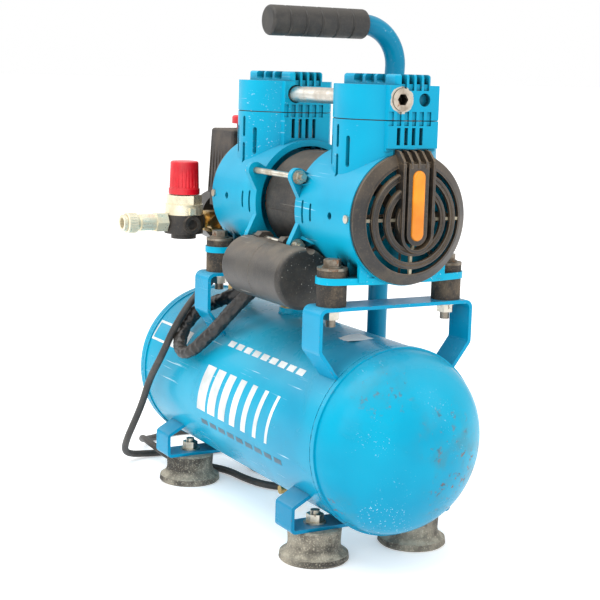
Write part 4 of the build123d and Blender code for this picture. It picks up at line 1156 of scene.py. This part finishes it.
figures = []
for number in range(dialValues["marks"]):
    text = bpy.data.curves.new("figure", "FONT")
    text.body = str(2 * number)
    text.size = 4.4 * mm
    text.align_x = "CENTER"
    text.align_y = "CENTER"
    text.extrude = 0.06 * mm
    holder = bpy.data.objects.new("figure", text)
    scene.collection.objects.link(holder)
    bpy.context.view_layer.update()
    mesh = bpy.data.meshes.new_from_object(holder.evaluated_get(bpy.context.evaluated_depsgraph_get()))
    bpy.data.objects.remove(holder)
    angle = dialValues["start"] + dialValues["sweep"] * number / (dialValues["marks"] - 1)
    facingOut = Matrix(((0, 0, -1, 0), (-1, 0, 0, 0), (0, 1, 0, 0), (0, 0, 0, 1)))
    mesh.transform(Matrix.Translation(dialPoint(angle, 12.4, 0.08)) @ facingOut)
    figure = bpy.data.objects.new("figure", mesh)
    scene.collection.objects.link(figure)
    figures.append(figure)
dialFigures = joined("dialFigures", figures)
give(dialFigures, "markInk", "frame")
print("gauge dial marked")


# Painted marks on the tank
markValues = {"axisZ": 106.5, "radius": 78.0, "lift": 0.16, "thick": 0.1}


# Spot on the tank's near side at a height in mm above the floor
def sidePoint(x, height, lift):
    radius = markValues["radius"] + lift
    angle = math.asin(max(-1.0, min(1.0, (height - markValues["axisZ"]) / markValues["radius"])))
    return (x * mm, -radius * math.cos(angle) * mm, (markValues["axisZ"] + radius * math.sin(angle)) * mm)


# Thin raised patches: each shape is (left, right, bottom, top, lean)
def slantedMarks(name, shapes, finishName):
    vertices, faces = [], []
    for left, right, bottom, top, lean in shapes:
        steps = max(2, round((top - bottom) / 3))
        across = max(1, round((right - left) / 12))
        start = len(vertices)
        for lift in (markValues["lift"] - markValues["thick"], markValues["lift"]):
            for row in range(steps + 1):
                height = bottom + (top - bottom) * row / steps
                for column in range(across + 1):
                    x = left + (right - left) * column / across + lean * (height - bottom)
                    vertices.append(sidePoint(x, height, lift))
        width, layer = across + 1, (across + 1) * (steps + 1)

        def corner(level, row, column):
            return start + level * layer + row * width + column

        for row in range(steps):
            for column in range(across):
                for level in (0, 1):
                    quad = [
                        corner(level, row, column),
                        corner(level, row, column + 1),
                        corner(level, row + 1, column + 1),
                        corner(level, row + 1, column),
                    ]
                    faces.append(tuple(quad if level else quad[::-1]))
        for row in range(steps):
            for column in (0, across):
                quad = (0, row), (1, row), (1, row + 1), (0, row + 1)
                faces.append(tuple(corner(level, place, column) for level, place in quad))
        for column in range(across):
            for row in (0, steps):
                quad = (0, column), (1, column), (1, column + 1), (0, column + 1)
                faces.append(tuple(corner(level, row, place) for level, place in quad))
    marks = joined(name, [meshObject(name, vertices, faces, False)])
    return give(marks, finishName, "frame")


# Plain slanted stripes that narrow towards the front, and plain dashes above and below them
stripeValues = {"count": 7, "start": -52.0, "pitch": 22.5, "width": 17.0, "narrowing": 2.1}
wideBars = []
for number in range(stripeValues["count"]):
    left = stripeValues["start"] + stripeValues["pitch"] * number
    right = left + stripeValues["width"] - stripeValues["narrowing"] * number
    wideBars.append((left, right, 92.0, 136.0, 0.35))
slantedMarks("wideStripes", wideBars, "decalWhite")

thinBars = [(-22.0 + 16.0 * number, -10.5 + 16.0 * number, 155.5, 160.0, 0.12) for number in range(9)]
slantedMarks("thinStripes", thinBars, "decalWhite")

greyBars = [(-48.0 + 18.0 * number, -35.0 + 18.0 * number, 78.5, 83.0, 0.1) for number in range(9)]
slantedMarks("greyStripes", greyBars, "decalGrey")

farBars = [
    (-171.0, -140.0, 136.4, 138.6, 0.1),
    (-169.5, -138.0, 152.6, 154.6, 0.1),
    (-171.0, -168.4, 136.4, 154.6, 0.1),
    (-134.0, -95.0, 136.4, 154.6, 0.1),
]
slantedMarks("farLabel", farBars, "decalWhite")
print("tank marks painted")

# Small peeling paper square on top of the tank
paperValues = {"x": (103.0, 127.0), "across": (-19.0, 2.0), "cells": 12}
vertices, faces = [], []
cells = paperValues["cells"]
for row in range(cells + 1):
    for column in range(cells + 1):
        shareX, shareY = column / cells, row / cells
        x = paperValues["x"][0] + (paperValues["x"][1] - paperValues["x"][0]) * shareX
        y = paperValues["across"][0] + (paperValues["across"][1] - paperValues["across"][0]) * shareY
        edge = max(abs(shareX - 0.5), abs(shareY - 0.5)) * 2
        ragged = 1.2 * noise.noise(Vector((x * 0.35, y * 0.35, 2.0))) * (edge > 0.95)
        curl = 1.9 * max(0.0, shareX + (1 - shareY) - 1.45) ** 2 * 4
        lift = 0.12 + curl + 0.12 * abs(noise.noise(Vector((x * 0.2, y * 0.2, 9.0))))
        radius = markValues["radius"] + lift
        angle = (y + ragged) / markValues["radius"]
        height = markValues["axisZ"] + radius * math.cos(angle)
        vertices.append(((x + ragged) * mm, radius * math.sin(angle) * mm, height * mm))
for row in range(cells):
    for column in range(cells):
        a = row * (cells + 1) + column
        faces.append((a, a + 1, a + cells + 2, a + cells + 1))
peelingPaper = meshObject("peelingPaper", vertices, faces)
solid = peelingPaper.modifiers.new("thickness", "SOLIDIFY")
solid.thickness = 0.12 * mm
give(peelingPaper, "paperWhite", "frame")
